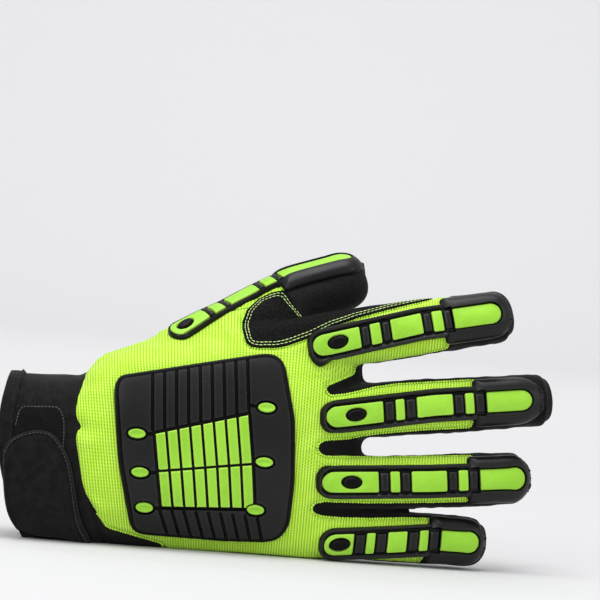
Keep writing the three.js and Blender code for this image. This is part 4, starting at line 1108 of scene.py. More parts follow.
def sewn(name, paths, pitch, size, thread, seed):
    """Stitches as one plain mesh along paths, each path its points, its edges and its outward directions."""
    points, edges, outward, count = [], [], [], 0
    for p, e, n in paths:
        if len(p) > 1:
            points.append(p)
            edges.append(e + count)
            outward.append(n)
            count += len(p)
    points, edges, outward = np.concatenate(points), np.concatenate(edges), np.concatenate(outward)
    mesh = bpy.data.meshes.new(name + "_paths")
    mesh.from_pydata(((points - ORIGIN) * MM).tolist(), edges.tolist(), [])
    layer = mesh.attributes.new("outward", "FLOAT_VECTOR", "POINT")
    layer.data.foreach_set("vector", outward.astype(np.float32).ravel())
    guide = placed(name + "_paths", mesh)
    modifier = guide.modifiers.new("stitches", "NODES")
    modifier.node_group = STITCH_TREE
    values = {"Pitch": pitch * MM, "Size": [v * MM for v in size], "Seed": seed, "Thread": thread}
    for item in STITCH_TREE.interface.items_tree:
        if item.in_out == "INPUT" and item.name in values:
            modifier[item.identifier] = values[item.name]
    bpy.context.view_layer.update()
    evaluated = guide.evaluated_get(bpy.context.evaluated_depsgraph_get())
    plain = bpy.data.meshes.new_from_object(evaluated)
    plain.name = name
    for polygon in plain.polygons:
        polygon.use_smooth = True
    guide.modifiers.clear()
    bpy.data.objects.remove(guide)
    bpy.data.meshes.remove(mesh)
    return finished(placed(name, plain))


def smoothed(p, edges, rounds=6):
    """Points of paths, each moved half way to the middle of its neighbours, and the paths' ends kept."""
    for _ in range(rounds):
        middle, count = neighbours(p, edges)
        p = np.where((count == 2)[:, None], 0.5 * p + 0.5 * middle, p)
    return p


def level_line(surface, value, lift):
    """Path on a panel where a value given at its points is nought."""
    p, t, n, _ = surface
    ordered, _ = edges_of(t)
    cross = (value[ordered[:, 0]] < 0) != (value[ordered[:, 1]] < 0)
    unique, inverse = np.unique(ordered[cross], axis=0, return_inverse=True)
    number = np.full(len(ordered), -1)
    number[cross] = inverse.reshape(-1)
    number = number.reshape(3, -1).T
    edges = np.sort(number[(number >= 0).sum(1) == 2], axis=1)[:, 1:]
    a, b = unique.T
    share = (value[a] / (value[a] - value[b]))[:, None]
    out = unit(n[a] * (1 - share) + n[b] * share)
    return smoothed(p[a] * (1 - share) + p[b] * share, edges) + out * lift, edges, out


def kept(path, keep):
    """The part of a path whose points pass a test."""
    p, edges, out = path
    return compact(p, edges[keep(p)[edges].all(1)], out)


def rim_path(surface, lift):
    """Path along a panel's own edge."""
    p, edges, out = compact(surface[0], border_of(surface[1]), surface[2])
    return smoothed(p + out * lift, edges, 2), edges, out


def chained(count):
    """Edges that join points one after the other."""
    return np.stack([np.arange(count - 1), np.arange(1, count)], 1)


def evenly(points, step=1.0):
    """A line through points at even steps, its corners eased."""
    points = np.array(points, float)
    at = np.concatenate([[0], np.cumsum(np.linalg.norm(np.diff(points, axis=0), axis=1))])
    new = np.linspace(0, at[-1], max(2, int(at[-1] / step)))
    line = np.stack([np.interp(new, at, points[:, i]) for i in range(points.shape[1])], 1)
    for _ in range(6):
        line[1:-1] = 0.5 * line[1:-1] + 0.25 * (line[:-2] + line[2:])
    return line


def beside(line, shift):
    """A flat line moved sideways."""
    way = unit(np.gradient(line, axis=0))
    return line + np.stack([-way[:, 1], way[:, 0]], 1) * shift


def all_surfaces():
    """Every panel's surface in one tree, for laying lines on the glove."""
    points, tris, count = [], [], 0
    for name in sorted(surfaces):
        p, t = surfaces[name][:2]
        points.append(p)
        tris.append(t + count)
        count += len(p)
    return BVHTree.FromPolygons(np.concatenate(points).tolist(), np.concatenate(tris).tolist())


FRONT = all_surfaces()


def laid(starts, ways):
    """A line of stitches where rays from starts, each going its way, meet the glove's face to them."""
    places, out = [], []
    for start, way in zip(starts, ways):
        place, normal, _, _ = FRONT.ray_cast(Vector(start), Vector(way))
        if place is not None and -normal.dot(Vector(way)) > 0.15:
            places.append(np.array(place) + np.array(normal) * STITCH_LIFT)
            out.append(normal)
    if len(places) < 2:
        return np.zeros((0, 3)), np.zeros((0, 2), int), np.zeros((0, 3))
    places, chain = np.array(places), chained(len(places))
    chain = chain[np.linalg.norm(np.diff(places, axis=0), axis=1) < 4]
    return smoothed(places, chain, 2), chain, np.array(out)


def double_row(line):
    """Two lines of stitches along a line in x and z on the palm side of the glove."""
    rows = []
    for shift in DOUBLE:
        flat = beside(line, shift)
        starts = np.stack([flat[:, 0], np.full(len(flat), 90), flat[:, 1]], 1)
        rows.append(laid(starts, np.tile([0, -1, 0], (len(flat), 1))))
    return rows


def build_patch_stitches():
    web_patch = surfaces["web_patch"]
    rows = [level_line(web_patch, web_patch[3] - inset, STITCH_LIFT) for inset in (1.5, 2.9)]
    sewn("web_patch_stitches", rows, 2.1, (1.9, 0.42, 0.34), LIME_THREAD, 5)


def build_palm_stitches():
    rows = []
    for row in PALM_ROWS:
        rows += double_row(evenly(row))
    for i, (row, cross) in enumerate(zip(FINGERS, CROSS_ROWS)):
        tip = row[1] + row[4] - 7
        middle = [(143, finger_z(i, 143)), (tip, finger_z(i, tip))]
        across = [(cross, finger_z(i, cross) - 11), (cross, finger_z(i, cross) + 11)]
        rows += double_row(evenly(middle)) + double_row(evenly(across))
    sewn("palm_stitches", rows, 2.3, LIME_STITCH, LIME_THREAD, 7)


def build_fingertip_seams():
    """The seam between the front and the sides of each fingertip, a row of dark thread sunk into it."""
    seams = []
    for row in FINGERS:
        surface, digit = surfaces["leather_" + row[0]], DIGITS[row[0]]
        out = digit.coordinates(surface[0])[2]
        seam = level_line(surface, out + 3.2, -0.06)
        seams.append(kept(seam, lambda p: digit.coordinates(p)[0] > 30))
    sewn("fingertip_seams", seams, 1.05, (1.4, 0.5, 0.3), DARK_THREAD, 15)


def build_thumb_stitches():
    """A double row along the middle of the thumb's front."""
    thumb, rows = DIGITS["thumb"], []
    for shift in DOUBLE:
        at = np.arange(22, thumb.end - 9, 1.0)
        centre, way = thumb.place(at, np.full(len(at), math.pi * ROUND + shift))
        rows.append(laid(centre + way * 32, -way))
    sewn("thumb_stitches", rows, 2.3, LIME_STITCH, LIME_THREAD, 17)


def build_edge_loops():
    """The knit's own loops, which stand out along its cut edges."""
    def clear_of_cuff(p):
        return p[:, 0] > edge_x(CUFF_SEAM, p[:, 2]) + 5

    loops = [kept(rim_path(surfaces[name], 0.45), clear_of_cuff) for name in ("back_knit", "thumb_knit")]
    sewn("knit_edge_loops", loops, 1.35, (1.25, 1.3, 0.85), KNIT, 9)


build_patch_stitches()
build_palm_stitches()
build_fingertip_seams()
build_thumb_stitches()
build_edge_loops()


# Moulded rubber over the skin
def edge_round(d, top, radius):
    """Height of a face of the given top whose edge is rounded, d inside its outline."""
    inside = clamp(d, 0, radius)
    return top - radius + np.sqrt(np.maximum(radius**2 - (radius - inside) ** 2, 0))


def moulded(name, material, node, box, step, outline, height, place, lines=(), low=-0.2, sharp=32,
            shade=None):
    """A closed piece over part of the skin, given in two coordinates, with its outline and height over them.

    Its mesh follows the outline and the lines. Place lays the two coordinates on the skin, low is how high
    its underside lies, and shade says how much painted light its rubber takes: painted shade on black, a
    painted highlight on lime."""
    u = np.arange(box[0], box[1] + step, step)
    v = np.arange(box[2], box[3] + step, step)
    grid = np.stack(np.meshgrid(u, v, indexing="ij"), -1).reshape(-1, 2)
    i, j = np.meshgrid(np.arange(len(u) - 1), np.arange(len(v) - 1), indexing="ij")
    a = (i * len(v) + j).ravel()
    b, c, d = a + len(v), a + len(v) + 1, a + 1
    even = ((i + j) % 2 == 0).ravel()
    tris = np.concatenate([
        np.stack([a, b, c], 1)[even], np.stack([a, c, d], 1)[even],
        np.stack([a, b, d], 1)[~even], np.stack([b, c, d], 1)[~even],
    ])
    held = np.zeros(len(grid), bool)
    for line in (outline, *lines):
        gu, gv = grid.T
        value = line(gu, gv)
        across, along = line(gu + 0.02, gv) - line(gu - 0.02, gv), line(gu, gv + 0.02) - line(gu, gv - 0.02)
        slope = np.stack([across, along], 1) / 0.04
        steep = np.maximum((slope**2).sum(1), 0.1)
        near = ~held & (np.abs(value) < 0.3 * step * np.sqrt(steep))
        grid[near] -= slope[near] * (value[near] / steep[near])[:, None]
        value[near] = 0
        held |= near
        grid, tris, _, _ = cut(grid, tris, value, snap=0.03)
        held = np.concatenate([held, np.ones(len(grid) - len(held), bool)])
    middle = grid[tris].mean(1)
    tris = tris[outline(middle[:, 0], middle[:, 1]) > 0]
    grid, tris = compact(grid, tris)
    base, normal = place(grid[:, 0], grid[:, 1])
    tall = height(grid[:, 0], grid[:, 1])
    top = base + normal * tall[:, None]
    bottom = base + normal * low
    top[:, 2] = np.maximum(top[:, 2], GROUND + 0.1)
    bottom[:, 2] = np.maximum(bottom[:, 2], GROUND + 0.12)
    first, second, third = (top[tris[:, k]] for k in range(3))
    facing = (np.cross(second - first, third - first) * normal[tris[:, 0]]).sum(1)
    if np.median(facing) < 0:
        tris = tris[:, ::-1]
    body, body_tris = thickened(top, tris, bottom)
    dark = None if shade is None else np.tile(shade(grid[:, 0], grid[:, 1]), 2)
    return finished(make_object(name, body, body_tris, material, sharp=sharp, shade=dark), node)


def crossing(place, inner, outer):
    """Length at which place(length) leaves the skin, by halving between a length inside and one outside."""
    for _ in range(13):
        half = (inner + outer) / 2
        within = sample(FIELD, place(half)) < 0
        inner, outer = np.where(within, half, inner), np.where(within, outer, half)
    return inner


def on_digit(digit, lean):
    """Places on the skin by lengths along a digit's strip and across it, at the rubber's middle height."""
    at = np.arange(-4, digit.end + 3, 3.0)
    middle = digit.table(digit.centre, at)
    rays = np.arange(4, 26, 0.25)
    out = sample(FIELD, middle[:, None] + digit.table(digit.out, at)[:, None] * rays[None, :, None]) > 0
    radius = np.convolve(np.pad(rays[out.argmax(1)], 3, mode="edge"), np.ones(7) / 7, mode="valid")

    def place(s, across):
        turn = (across + lean(s)) / (np.interp(s, at, np.minimum(radius, 19)) + 2.2)
        centre, way = digit.place(s, turn * ROUND)
        inside, outside = np.zeros(len(s)), np.full(len(s), 24.0)
        reach = crossing(lambda length: centre + way * length[:, None], inside, outside)
        p = centre + way * reach[:, None]
        return p, unit(slope_at(FIELD, p, 2.0) + 0.35 * way)
    return place


PAD_HALF, CAP_HALF = 5.3, 13.4  # half the width of the coloured pads and of the fingertip cap
GUARD_HALF = {"index": 9.2, "middle": 9.2, "ring": 9.2, "little": 9, "thumb": 7.5}
CORD = {"index": 2.7, "middle": 2.7, "ring": 2.7, "little": 2.6, "thumb": 1.5}  # width of the round rim
BASE = 1.3  # rubber left under the pads and in the grooves
WALL = 0.3  # width of the leaning wall round a hollow or a raised part
CORD_RISE = 1.55
STRIP_CORNER, STUD_HALF = 7.3, (4.8, 3.2)
DRIFT_OVER = 55  # over that length from its start a strip swings on to its digit's middle line
CAP_EDGE, CAP_CROWN, CAP_REACH = 0.8, 2.9, 6.8  # height of its edge, its crown over that, and how far in
BAND_TOP, STUD_TOP, PAD_TOP, PAD_CROWN = 2.95, 3.45, 2.75, 0.45
PAD_GAP = 0.5  # how far its hollow goes past a coloured pad
EDGE_ROUND = 0.9  # how far in a strip's own edge is rounded


def step_up(tall, k, level, wall=WALL):
    """Takes a face to another level inside k = 0, over a leaning wall."""
    share = clamp(k / wall)
    return tall * (1 - share) + level * share


PAD_KINDS = ("oval", "short_1", "long", "short_2", "cap")


def strip_layout(strip):
    """Each coloured pad's kind, start and stop along a strip, and the strip's end."""
    name, start, _, first, band, short, long, end, rim = strip
    at, pads = start + CORD[name], []
    first -= CORD[name]
    for kind, length in zip(PAD_KINDS, (first, short, long, short, end)):
        pads.append((kind, at, at + length))
        at += length + band
    return pads, at - band + rim


def pad_rule(kind, start, stop):
    """Outline of one coloured pad: the first has a round start and the last a round end."""
    middle, half = (start + stop) / 2, (stop - start) / 2

    def rule(u, v):
        if kind in ("oval", "cap"):
            turn = 1 if kind == "cap" else -1
            round_end = inside_box(u, v, (middle, 0), (half, PAD_HALF), 5.2)
            square = inside_box(u, v, (middle, 0), (half, PAD_HALF), 0.7)
            return np.where((u - middle) * turn > 0, round_end, square)
        return inside_box(u, v, (middle, 0), (half, PAD_HALF), 0.7)
    return rule


def build_strip(strip):
    """A finger's moulded strip with its cord, bands, stud and cap, and the coloured pads let into it."""
    name, start, drift, _, band = strip[:5]
    pads, stop = strip_layout(strip)
    rules = [pad_rule(*pad) for pad in pads]
    cap_from = pads[4][1] - band * 0.9
    stud_at = pads[0][1] + (pads[0][2] - pads[0][1]) * (0.42 if name == "thumb" else 0.53)
    cord_half = CORD[name] / 2

    def lean(s):
        return drift * np.maximum(0, 1 - (s - start) / DRIFT_OVER)

    def long_rule(u, v):
        return inside_box(u, v, ((start + stop) / 2, 0), ((stop - start) / 2, GUARD_HALF[name]), STRIP_CORNER)

    def cap_rule(u, v):
        middle = (cap_from + stop) / 2
        half = (stop - cap_from) / 2
        body = inside_box(u, v, (middle, 0), (half, CAP_HALF), min(half, CAP_HALF) - 0.2)
        square = inside_box(u, v, (middle, 0), (half, CAP_HALF), 2.5)
        return np.where(u > middle, body, square)

    def outline(u, v):
        return -smooth_min(-long_rule(u, v), -cap_rule(u, v), 1.2)

    def stud_rule(u, v):
        return inside_oval(u, v, (stud_at, 0), STUD_HALF)

    def band_rule(left, right):
        return lambda u, v: inside_box(u, v, ((left + right) / 2, 0), ((right - left) / 2 - 0.5, 5.2), 0.9)

    bands = [band_rule(a[2], b[1]) for a, b in zip(pads, pads[1:])]

    def height(u, v):
        d, rim_at, in_cap = outline(u, v), long_rule(u, v), cap_rule(u, v)
        cord = BASE + CORD_RISE * np.sqrt(clamp(1 - ((rim_at - cord_half) / cord_half) ** 2))
        tall = np.where((rim_at < 2 * cord_half) & (in_cap < 0.8), cord, BASE)
        crown = CAP_EDGE + CAP_CROWN * (1 - (1 - clamp(in_cap / CAP_REACH)) ** 2) ** 0.65
        shoulder = np.where((u < pads[4][1] - 0.5) & (np.abs(v) < 6.2), 0, crown)
        tall = np.maximum(tall, np.where(in_cap > 0, shoulder, 0))
        for rule in bands:
            k = rule(u, v)
            tall = np.maximum(tall, step_up(BASE, k, edge_round(k - 0.25, BAND_TOP, 1.4), 0.25))
        for rule in rules:
            tall = step_up(tall, rule(u, v) + PAD_GAP, BASE)
        k = stud_rule(u, v)
        tall = step_up(tall, k, edge_round(k - 0.25, STUD_TOP, 1.6), 0.25)
        low_edge = 0.9 + 1.1 * np.sqrt(clamp(1 - (1 - clamp(d / EDGE_ROUND)) ** 2))
        return np.where(d < EDGE_ROUND, np.minimum(tall, low_edge), tall)

    # Painted shade: the strip's outer wall, its floor round the pads, bands and stud, and the pads' hollows
    # are darkened.
    def shade(u, v):
        dark = 0.6 * clamp((1.2 - outline(u, v)) / 0.6)
        flat = np.where(long_rule(u, v) > 2 * cord_half, 1 - clamp(cap_rule(u, v) / 0.5), 0)
        for rule in (*bands, stud_rule):
            flat = flat * (1 - clamp(rule(u, v) / 0.3))
        for rule in rules:
            flat = np.maximum(flat, clamp((rule(u, v) + PAD_GAP) / 0.2))
        return np.maximum(dark, 0.85 * flat)

    lines = [lambda u, v, r=r, k=k: r(u, v) + k for r in rules for k in (PAD_GAP, PAD_GAP - WALL)]
    lines += [lambda u, v, r=r, k=k: r(u, v) - k for r in (*bands, stud_rule) for k in (0, 0.25)]
    box = (start - 0.5, stop + 0.5, -CAP_HALF - 0.2, CAP_HALF + 0.2)
    moulded(f"{name}_guard", BLACK_RUBBER, f"guard_{name}", box, 0.5, outline, height,
            on_digit(DIGITS[name], lean), lines, shade=shade)

    for (kind, a, b), rule in zip(pads, rules):
        def pad_outline(u, v):
            return np.minimum(rule(u, v), -0.3 - stud_rule(u, v)) if kind == "oval" else rule(u, v)

        def pad_height(u, v):
            d = pad_outline(u, v)
            return edge_round(d, PAD_TOP, 0.5) + PAD_CROWN * ease(d / 5)

        # Painted highlight: a pale line round each pad's edge.
        def pad_highlight(u, v):
            return 0.4 * clamp(1 - pad_outline(u, v) / 0.6)

        box = (a - 0.3, b + 0.3, -6, 6)
        moulded(f"{name}_pad_{kind}", LIME_RUBBER, f"pad_{name}_{kind}", box, 0.45,
                pad_outline, pad_height, on_digit(DIGITS[name], lean),
                [lambda u, v: pad_outline(u, v) - 0.5], low=0.4, shade=pad_highlight)


for strip in STRIPS:
    build_strip(strip)


def on_back(x, z):
    """Where the line through x and z meets the back of the hand, and the way out there."""
    y = crossing(lambda y: np.stack([x, y, z], 1), middle_y(x, z), np.full(len(x), -43.0))
    p = np.stack([x, y, z], 1)
    return p, unit(slope_at(FIELD, p, 3.0))


GRILLE = [  # left and right end of the grille's upper edge, its middle and its lower edge
    ((61.2, 55.8), (106.5, 68.3)), ((64.2, 37.5), (110.3, 44.3)), ((67.1, 20.2), (113.0, 22.6)),
]
GROOVE_ROWS = [  # the first and the last groove's upper ends, and their lower ends
    ((58, 83.4), (103.6, 94.2), (60.1, 57.2), (106.2, 69.6)),
    ((66.4, 19.4), (114.4, 19.2), (71.9, 5.6), (118, 6.4)),
]
BARS = 8  # coloured bars in each row of the grille, and one groove more above and below them
OVALS = [(52.8, 54.8), (55.7, 36.4), (59.1, 19.6), (114.8, 71.8), (115.8, 45.6), (113.4, 22.2)]


def between(a, b, t):
    """Point at the share t of the way from a to b."""
    return (a[0] + (b[0] - a[0]) * t, a[1] + (b[1] - a[1]) * t)


def segment_rule(a, b, half):
    """Rule of a round-ended groove from a to b."""
    def rule(u, v):
        ex, ey = b[0] - a[0], b[1] - a[1]
        t = clamp(((u - a[0]) * ex + (v - a[1]) * ey) / (ex * ex + ey * ey))
        return half - np.hypot(u - a[0] - t * ex, v - a[1] - t * ey)
    return rule


PLATE_RIM = 2.1  # width of the rolled rim round the plate
PLATE_TOP, GROOVE_LEVEL, PANEL_LEVEL, OVAL_LEVEL = 2.95, 1.75, 1.3, 1.5  # heights over the skin
PANEL_GAP, OVAL_GAP = 1.0, 1.15  # how far their hollows go past the grille and the ovals
GROOVE_HALF, OVAL_GROOVE_HALF = 0.8, 0.85
OVAL_HALF = (4.2, 2.25)


def build_plate():
    """The moulded plate on the hand's back, with its grooves, and the coloured bars and ovals let into it."""
    outline = rounded(PLATE, 5.0)
    panel = [GRILLE[0][0], GRILLE[0][1], GRILLE[1][1], GRILLE[2][1], GRILLE[2][0], GRILLE[1][0]]
    grooves = []
    for (a, b, c, d) in GROOVE_ROWS:
        for t in np.linspace(0, 1, BARS + 1):
            grooves.append(segment_rule(between(a, b, t), between(c, d, t), GROOVE_HALF))
    for i, (x, z) in enumerate(OVALS):
        grooves.append(segment_rule((x, z), (x + (8 if i < 3 else -8), z + 0.4), OVAL_GROOVE_HALF))
    ovals = [lambda u, v, o=o: inside_oval(u, v, o, OVAL_HALF) for o in OVALS]

    def outer(u, v):
        return inside_polygon(outline, u, v)

    def in_panel(u, v):
        return inside_polygon(panel, u, v)

    def height(u, v):
        d = outer(u, v)
        rim = 0.5 + edge_round(d, 1.65, 0.95) - 0.25 * np.exp(-((d - PLATE_RIM) / 0.5) ** 2)
        tall = step_up(rim, d - PLATE_RIM, PLATE_TOP)
        for rule in grooves:
            tall = np.where(d > PLATE_RIM, np.minimum(tall, step_up(tall, rule(u, v), GROOVE_LEVEL)), tall)
        tall = step_up(tall, in_panel(u, v) + PANEL_GAP, PANEL_LEVEL)
        for rule in ovals:
            tall = step_up(tall, rule(u, v) + OVAL_GAP, OVAL_LEVEL)
        return tall

    # Painted shade: the plate's rolled rim, its grooves and the hollows round the grille and the ovals are
    # darkened.
    def shade(u, v):
        dark = 0.75 * clamp((PLATE_RIM + 0.3 - outer(u, v)) / 0.4)
        for rule in grooves:
            dark = np.maximum(dark, 0.9 * clamp(rule(u, v) / 0.2))
        dark = np.maximum(dark, 0.8 * clamp((in_panel(u, v) + PANEL_GAP) / WALL))
        for rule in ovals:
            dark = np.maximum(dark, 0.9 * clamp((rule(u, v) + OVAL_GAP) / WALL))
        return dark

    lines = [lambda u, v, k=k: outer(u, v) - k for k in (0.5, PLATE_RIM, PLATE_RIM + WALL)]
    lines += [lambda u, v, k=k: in_panel(u, v) + k for k in (PANEL_GAP, PANEL_GAP - WALL)]
    lines += [lambda u, v, r=r, k=k: r(u, v) + k for r in ovals for k in (OVAL_GAP, OVAL_GAP - WALL)]
    lines += [lambda u, v, r=r, k=k: r(u, v) - k for r in grooves for k in (0, WALL)]
    moulded("back_plate_rubber", BLACK_RUBBER, "back_plate", (39, 133, 4, 99), 0.7, outer,
            height, on_back, lines, shade=shade)

    bars = []
    for row in range(2):
        top, bottom = GRILLE[row], GRILLE[row + 1]
        for i in range(BARS):
            a, b = i / BARS, (i + 1) / BARS
            bars.append([between(*top, a), between(*top, b), between(*bottom, b), between(*bottom, a)])

    def bar_outline(u, v):
        best = np.full(len(u), -50.0)
        for corners in bars:
            best = np.maximum(best, inside_polygon(corners, u, v) - 0.72)
        for rule in ovals:
            best = np.minimum(best, -0.9 - rule(u, v))
        return best

    def bar_height(u, v):
        k = bar_outline(u, v)
        return edge_round(k, 3.25, 0.4) - 0.12 * ease(k / 2)

    # Painted highlight: a pale line round each bar's edge.
    def bar_highlight(u, v):
        return 0.75 * clamp(1 - bar_outline(u, v) / 0.55)

    moulded("grille_bars", LIME_RUBBER, "grille_inlay", (60, 114, 19, 69), 0.45, bar_outline,
            bar_height, on_back, [lambda u, v: bar_outline(u, v) - 0.4], low=0.6, shade=bar_highlight)
    for i, ((x, z), rule) in enumerate(zip(OVALS, ovals)):
        def dished(u, v):
            k = rule(u, v)
            return edge_round(k, 3.4, 0.6) - 0.45 * ease((k - 0.5) / 1.6)

        moulded(f"plate_oval_{i + 1}_pad", LIME_RUBBER, f"plate_oval_{i + 1}",
                (x - 5, x + 5, z - 3, z + 3), 0.4, rule, dished, on_back, low=0.6)


build_plate()


# The cuff, its hem, patch and strap
STRAP = [  # the strap's upper edge on the back of the cuff, x and z, from the left round to the lower right
    (-11.2, 41.9), (-10.2, 45.2), (-6.9, 48.6), (-2.2, 50.9), (3.9, 52.5), (10, 52.1), (13.9, 49.9),
    (17.9, 45.2), (21.2, 38.9), (23.4, 32.9), (25.2, 24.5), (27.9, 14.9), (30.4, 9.2), (34.5, 4.3),
]
STRAP_LEFT = [(-0.6, 3.4), (-3.8, 6.6), (-7.2, 12.2), (-8.9, 18.5), (-10.4, 29.2)]
STRAP_FOLD = [(-1, 4.4), (5, 2.9), (16, 2.2), (34, 2.4)]  # where the strap is folded under, x and z
STRAP_UNDER = (0, 34, 16)  # from and to along the cuff, and its height on the palm side
HEM = 7.0  # how far the binding reaches along the cuff
STRAP_THICK, FOLD_DEPTH = 3.5, 1.2
STRAP_GROOVES = [(2.3, 0.35, 0.45), (5.2, 0.4, 0.25)]  # mm from its edge, half width and depth
PILE = (1.9, 2.6)  # mm between the loops of the patch's pile, along the cuff and round it
PATCH_SEWN = [(-7, 55), (-6.2, 61), (-4, 63.9), (13.4, 64.3), (16.4, 61.5), (18, 57), (18.6, 50), (18.4, 42)]
LOOP_PATCH = [(-9, 26), (18, 26), (18.6, 50), (18, 57), (16.4, 61.5), (13.4, 64.3), (-4, 63.9), (-9, 62.4)]


def tube_sizes(x):
    """Middle height, half height and thickness of the cuff's section at x."""
    low, high = np.interp(x, HAND_AT, HAND_LOW), np.interp(x, HAND_AT, HAND_HIGH)
    return (low + high) / 2, (high - low) / 2, np.interp(x, HAND_AT, HAND_THICK)


def on_tube(x, turn, rise):
    """Point of the cuff's round section at x: turn is 0 at the floor, and grows up the back."""
    middle, half, thick = tube_sizes(x)
    c, s = -np.cos(turn), -np.sin(turn)
    z = middle + (half + rise) * np.sign(c) * np.abs(c) ** (2 / SQUARE)
    y = middle_y(x, z) + (thick + rise) * np.sign(s) * np.abs(s) ** (2 / SQUARE)
    return np.stack([x, y, z], -1)


TURNS = np.linspace(-math.pi, math.pi, 2001)
SECTION_AT = 8.0  # x of the cuff's section along which lengths round it are measured
ring = on_tube(np.full(len(TURNS), SECTION_AT), TURNS, 0)
ARC = np.concatenate([[0], np.cumsum(np.linalg.norm(np.diff(ring, axis=0), axis=1))])
ARC -= np.interp(0, TURNS, ARC)


def turn_of(arc):
    """Turn round the cuff for a length round it from the floor line, in millimetres."""
    return np.interp(arc, ARC, TURNS)


def arc_at(z, back=True):
    """Length round the cuff where the back, or the palm side, has height z."""
    keep = (TURNS > 0) if back else (TURNS < 0)
    heights = ring[keep, 2]
    order = np.argsort(heights)
    return np.interp(z, heights[order], ARC[keep][order])


def on_cuff(x, arc):
    """Point of the cuff's outer face at x and a length round it, and the way out there."""
    turn = turn_of(arc)
    p = on_tube(x, turn, 0)
    ahead = on_tube(x, turn + 0.02, 0) - on_tube(x, turn - 0.02, 0)
    along = on_tube(x + 0.5, turn, 0) - on_tube(x - 0.5, turn, 0)
    out = unit(np.cross(along, ahead))
    middle = tube_sizes(x)[0]
    centre = np.stack([x, middle_y(x, middle), middle + 0 * x], -1)
    out *= np.sign((out * (p - centre)).sum(-1))[:, None]
    return p + out * cuff_folds(x, arc)[:, None], out


def cuff_folds(x, arc):
    """Soft waves of the padded cuff, in millimetres."""
    p = np.stack([x * 0.6, arc, 0 * x], -1)
    return 0.45 * bump_noise(p, 26, 21) + 0.15 * bump_noise(p, 9, 23)


RING_STEPS = 340  # points round each ring of the cuff


def band_round(name, material, node, profile):
    """A closed ring round the cuff; its profile's rows are share along the cuff, millimetres along, rise."""
    arc = np.linspace(ARC[0], ARC[-1], RING_STEPS, endpoint=False)
    profile = np.array(profile, float)
    z = on_tube(np.full(RING_STEPS, SECTION_AT), turn_of(arc), 0)[:, 2]
    rows = []
    for share, shift, rise in profile:
        first, last = edge_x(CUFF_END, z), edge_x(CUFF_SEAM, z)
        x = first + (last - first) * share + shift
        p, out = on_cuff(x, arc)
        rows.append(p + out * rise)
    points = np.stack(rows, 1)
    m = len(profile)
    i, j = np.meshgrid(np.arange(RING_STEPS), np.arange(m), indexing="ij")
    ahead, above = (i + 1) % RING_STEPS, (j + 1) % m
    a, b, c, d = ((k * m + n).ravel() for k, n in ((i, j), (ahead, j), (ahead, above), (i, above)))
    tris = np.concatenate([np.stack([a, b, c], 1), np.stack([a, c, d], 1)])
    points = points.reshape(-1, 3)
    volume = (points[tris[:, 0]] * np.cross(points[tris[:, 1]], points[tris[:, 2]])).sum()
    if volume < 0:
        tris = tris[:, ::-1]
    return finished(make_object(name, points, tris, material), node)


def round_cuff(line):
    """A line of x and heights on the cuff's back, as x and lengths round the cuff."""
    return [(x, arc_at(z)) for x, z in line]


def cuff_row(name, outline, rises, inset, pitch, size, seed):
    """A row of dark stitches a little inside an outline on the cuff, where it stands clear of the floor."""
    line = beside(evenly(outline, 0.6), inset)
    p, out = on_cuff(line[:, 0], line[:, 1])
    p = p + out * rises(line[:, 0], line[:, 1])[:, None]
    row = kept((p, chained(len(p)), out), lambda p: p[:, 2] > GROUND + 1.5)
    sewn(name, [row], pitch, size, DARK_THREAD, seed)


def build_bands():
    """The padded band of the cuff, and the binding round its end."""
    outer = [(f, 0, 0) for f in np.linspace(0.06, 1, 40)] + [(1, 3, -1.2), (1, 5, -2.2)]
    inner = [(1, 5, -4.6)] + [(f, 0, -2.8) for f in np.linspace(0.95, 0.06, 24)]
    band_round("cuff_body", NEOPRENE, "cuff", outer + inner)
    leg = [(0, d, 1.0 - 0.3 * ((d - 3.3) / 3.7) ** 2 + 1.0 * math.exp(-((d - 6) / 0.6) ** 2))
           for d in np.linspace(HEM, 0.6, 22)]
    lip = [(0, -0.9 * math.sin(t) + 0.4, 0.85 * math.cos(t) + 0.1 - 1.9 * (1 - math.cos(t)) / 2 * 1.15)
           for t in np.linspace(0.3, math.pi - 0.3, 9)]
    under = [(0, d, -3.6) for d in np.linspace(0.8, 6.5, 8)]
    back = [(0, 6.8, -2.9), (0, 1.5, -2.7), (0, 1.2, -1.4), (0, 1.5, 0.0), (0, 6.9, 0.25)]
    band_round("hem_binding", BINDING, "cuff_hem", leg + lip + under + back)


def build_loop_patch():
    corners = round_cuff(LOOP_PATCH)

    def patch_outline(x, arc):
        beside_hem = x - edge_x(CUFF_END, np.interp(arc, ARC, ring[:, 2])) - (HEM + 0.2)
        return np.minimum(inside_polygon(corners, x, arc), beside_hem)

    def patch_height(x, arc):
        d = patch_outline(x, arc)
        loops = 0.2 * np.sin(x * math.tau / PILE[0]) * np.sin(arc * math.tau / PILE[1])
        return edge_round(d, 1.45, 0.5) + np.where(d > 1.3, loops, 0)

    box = (-12, 20, arc_at(24), arc_at(66))
    moulded("loop_patch_pile", LOOP_PILE, "loop_patch", box, 0.5, patch_outline,
            patch_height, on_cuff, low=0.1)


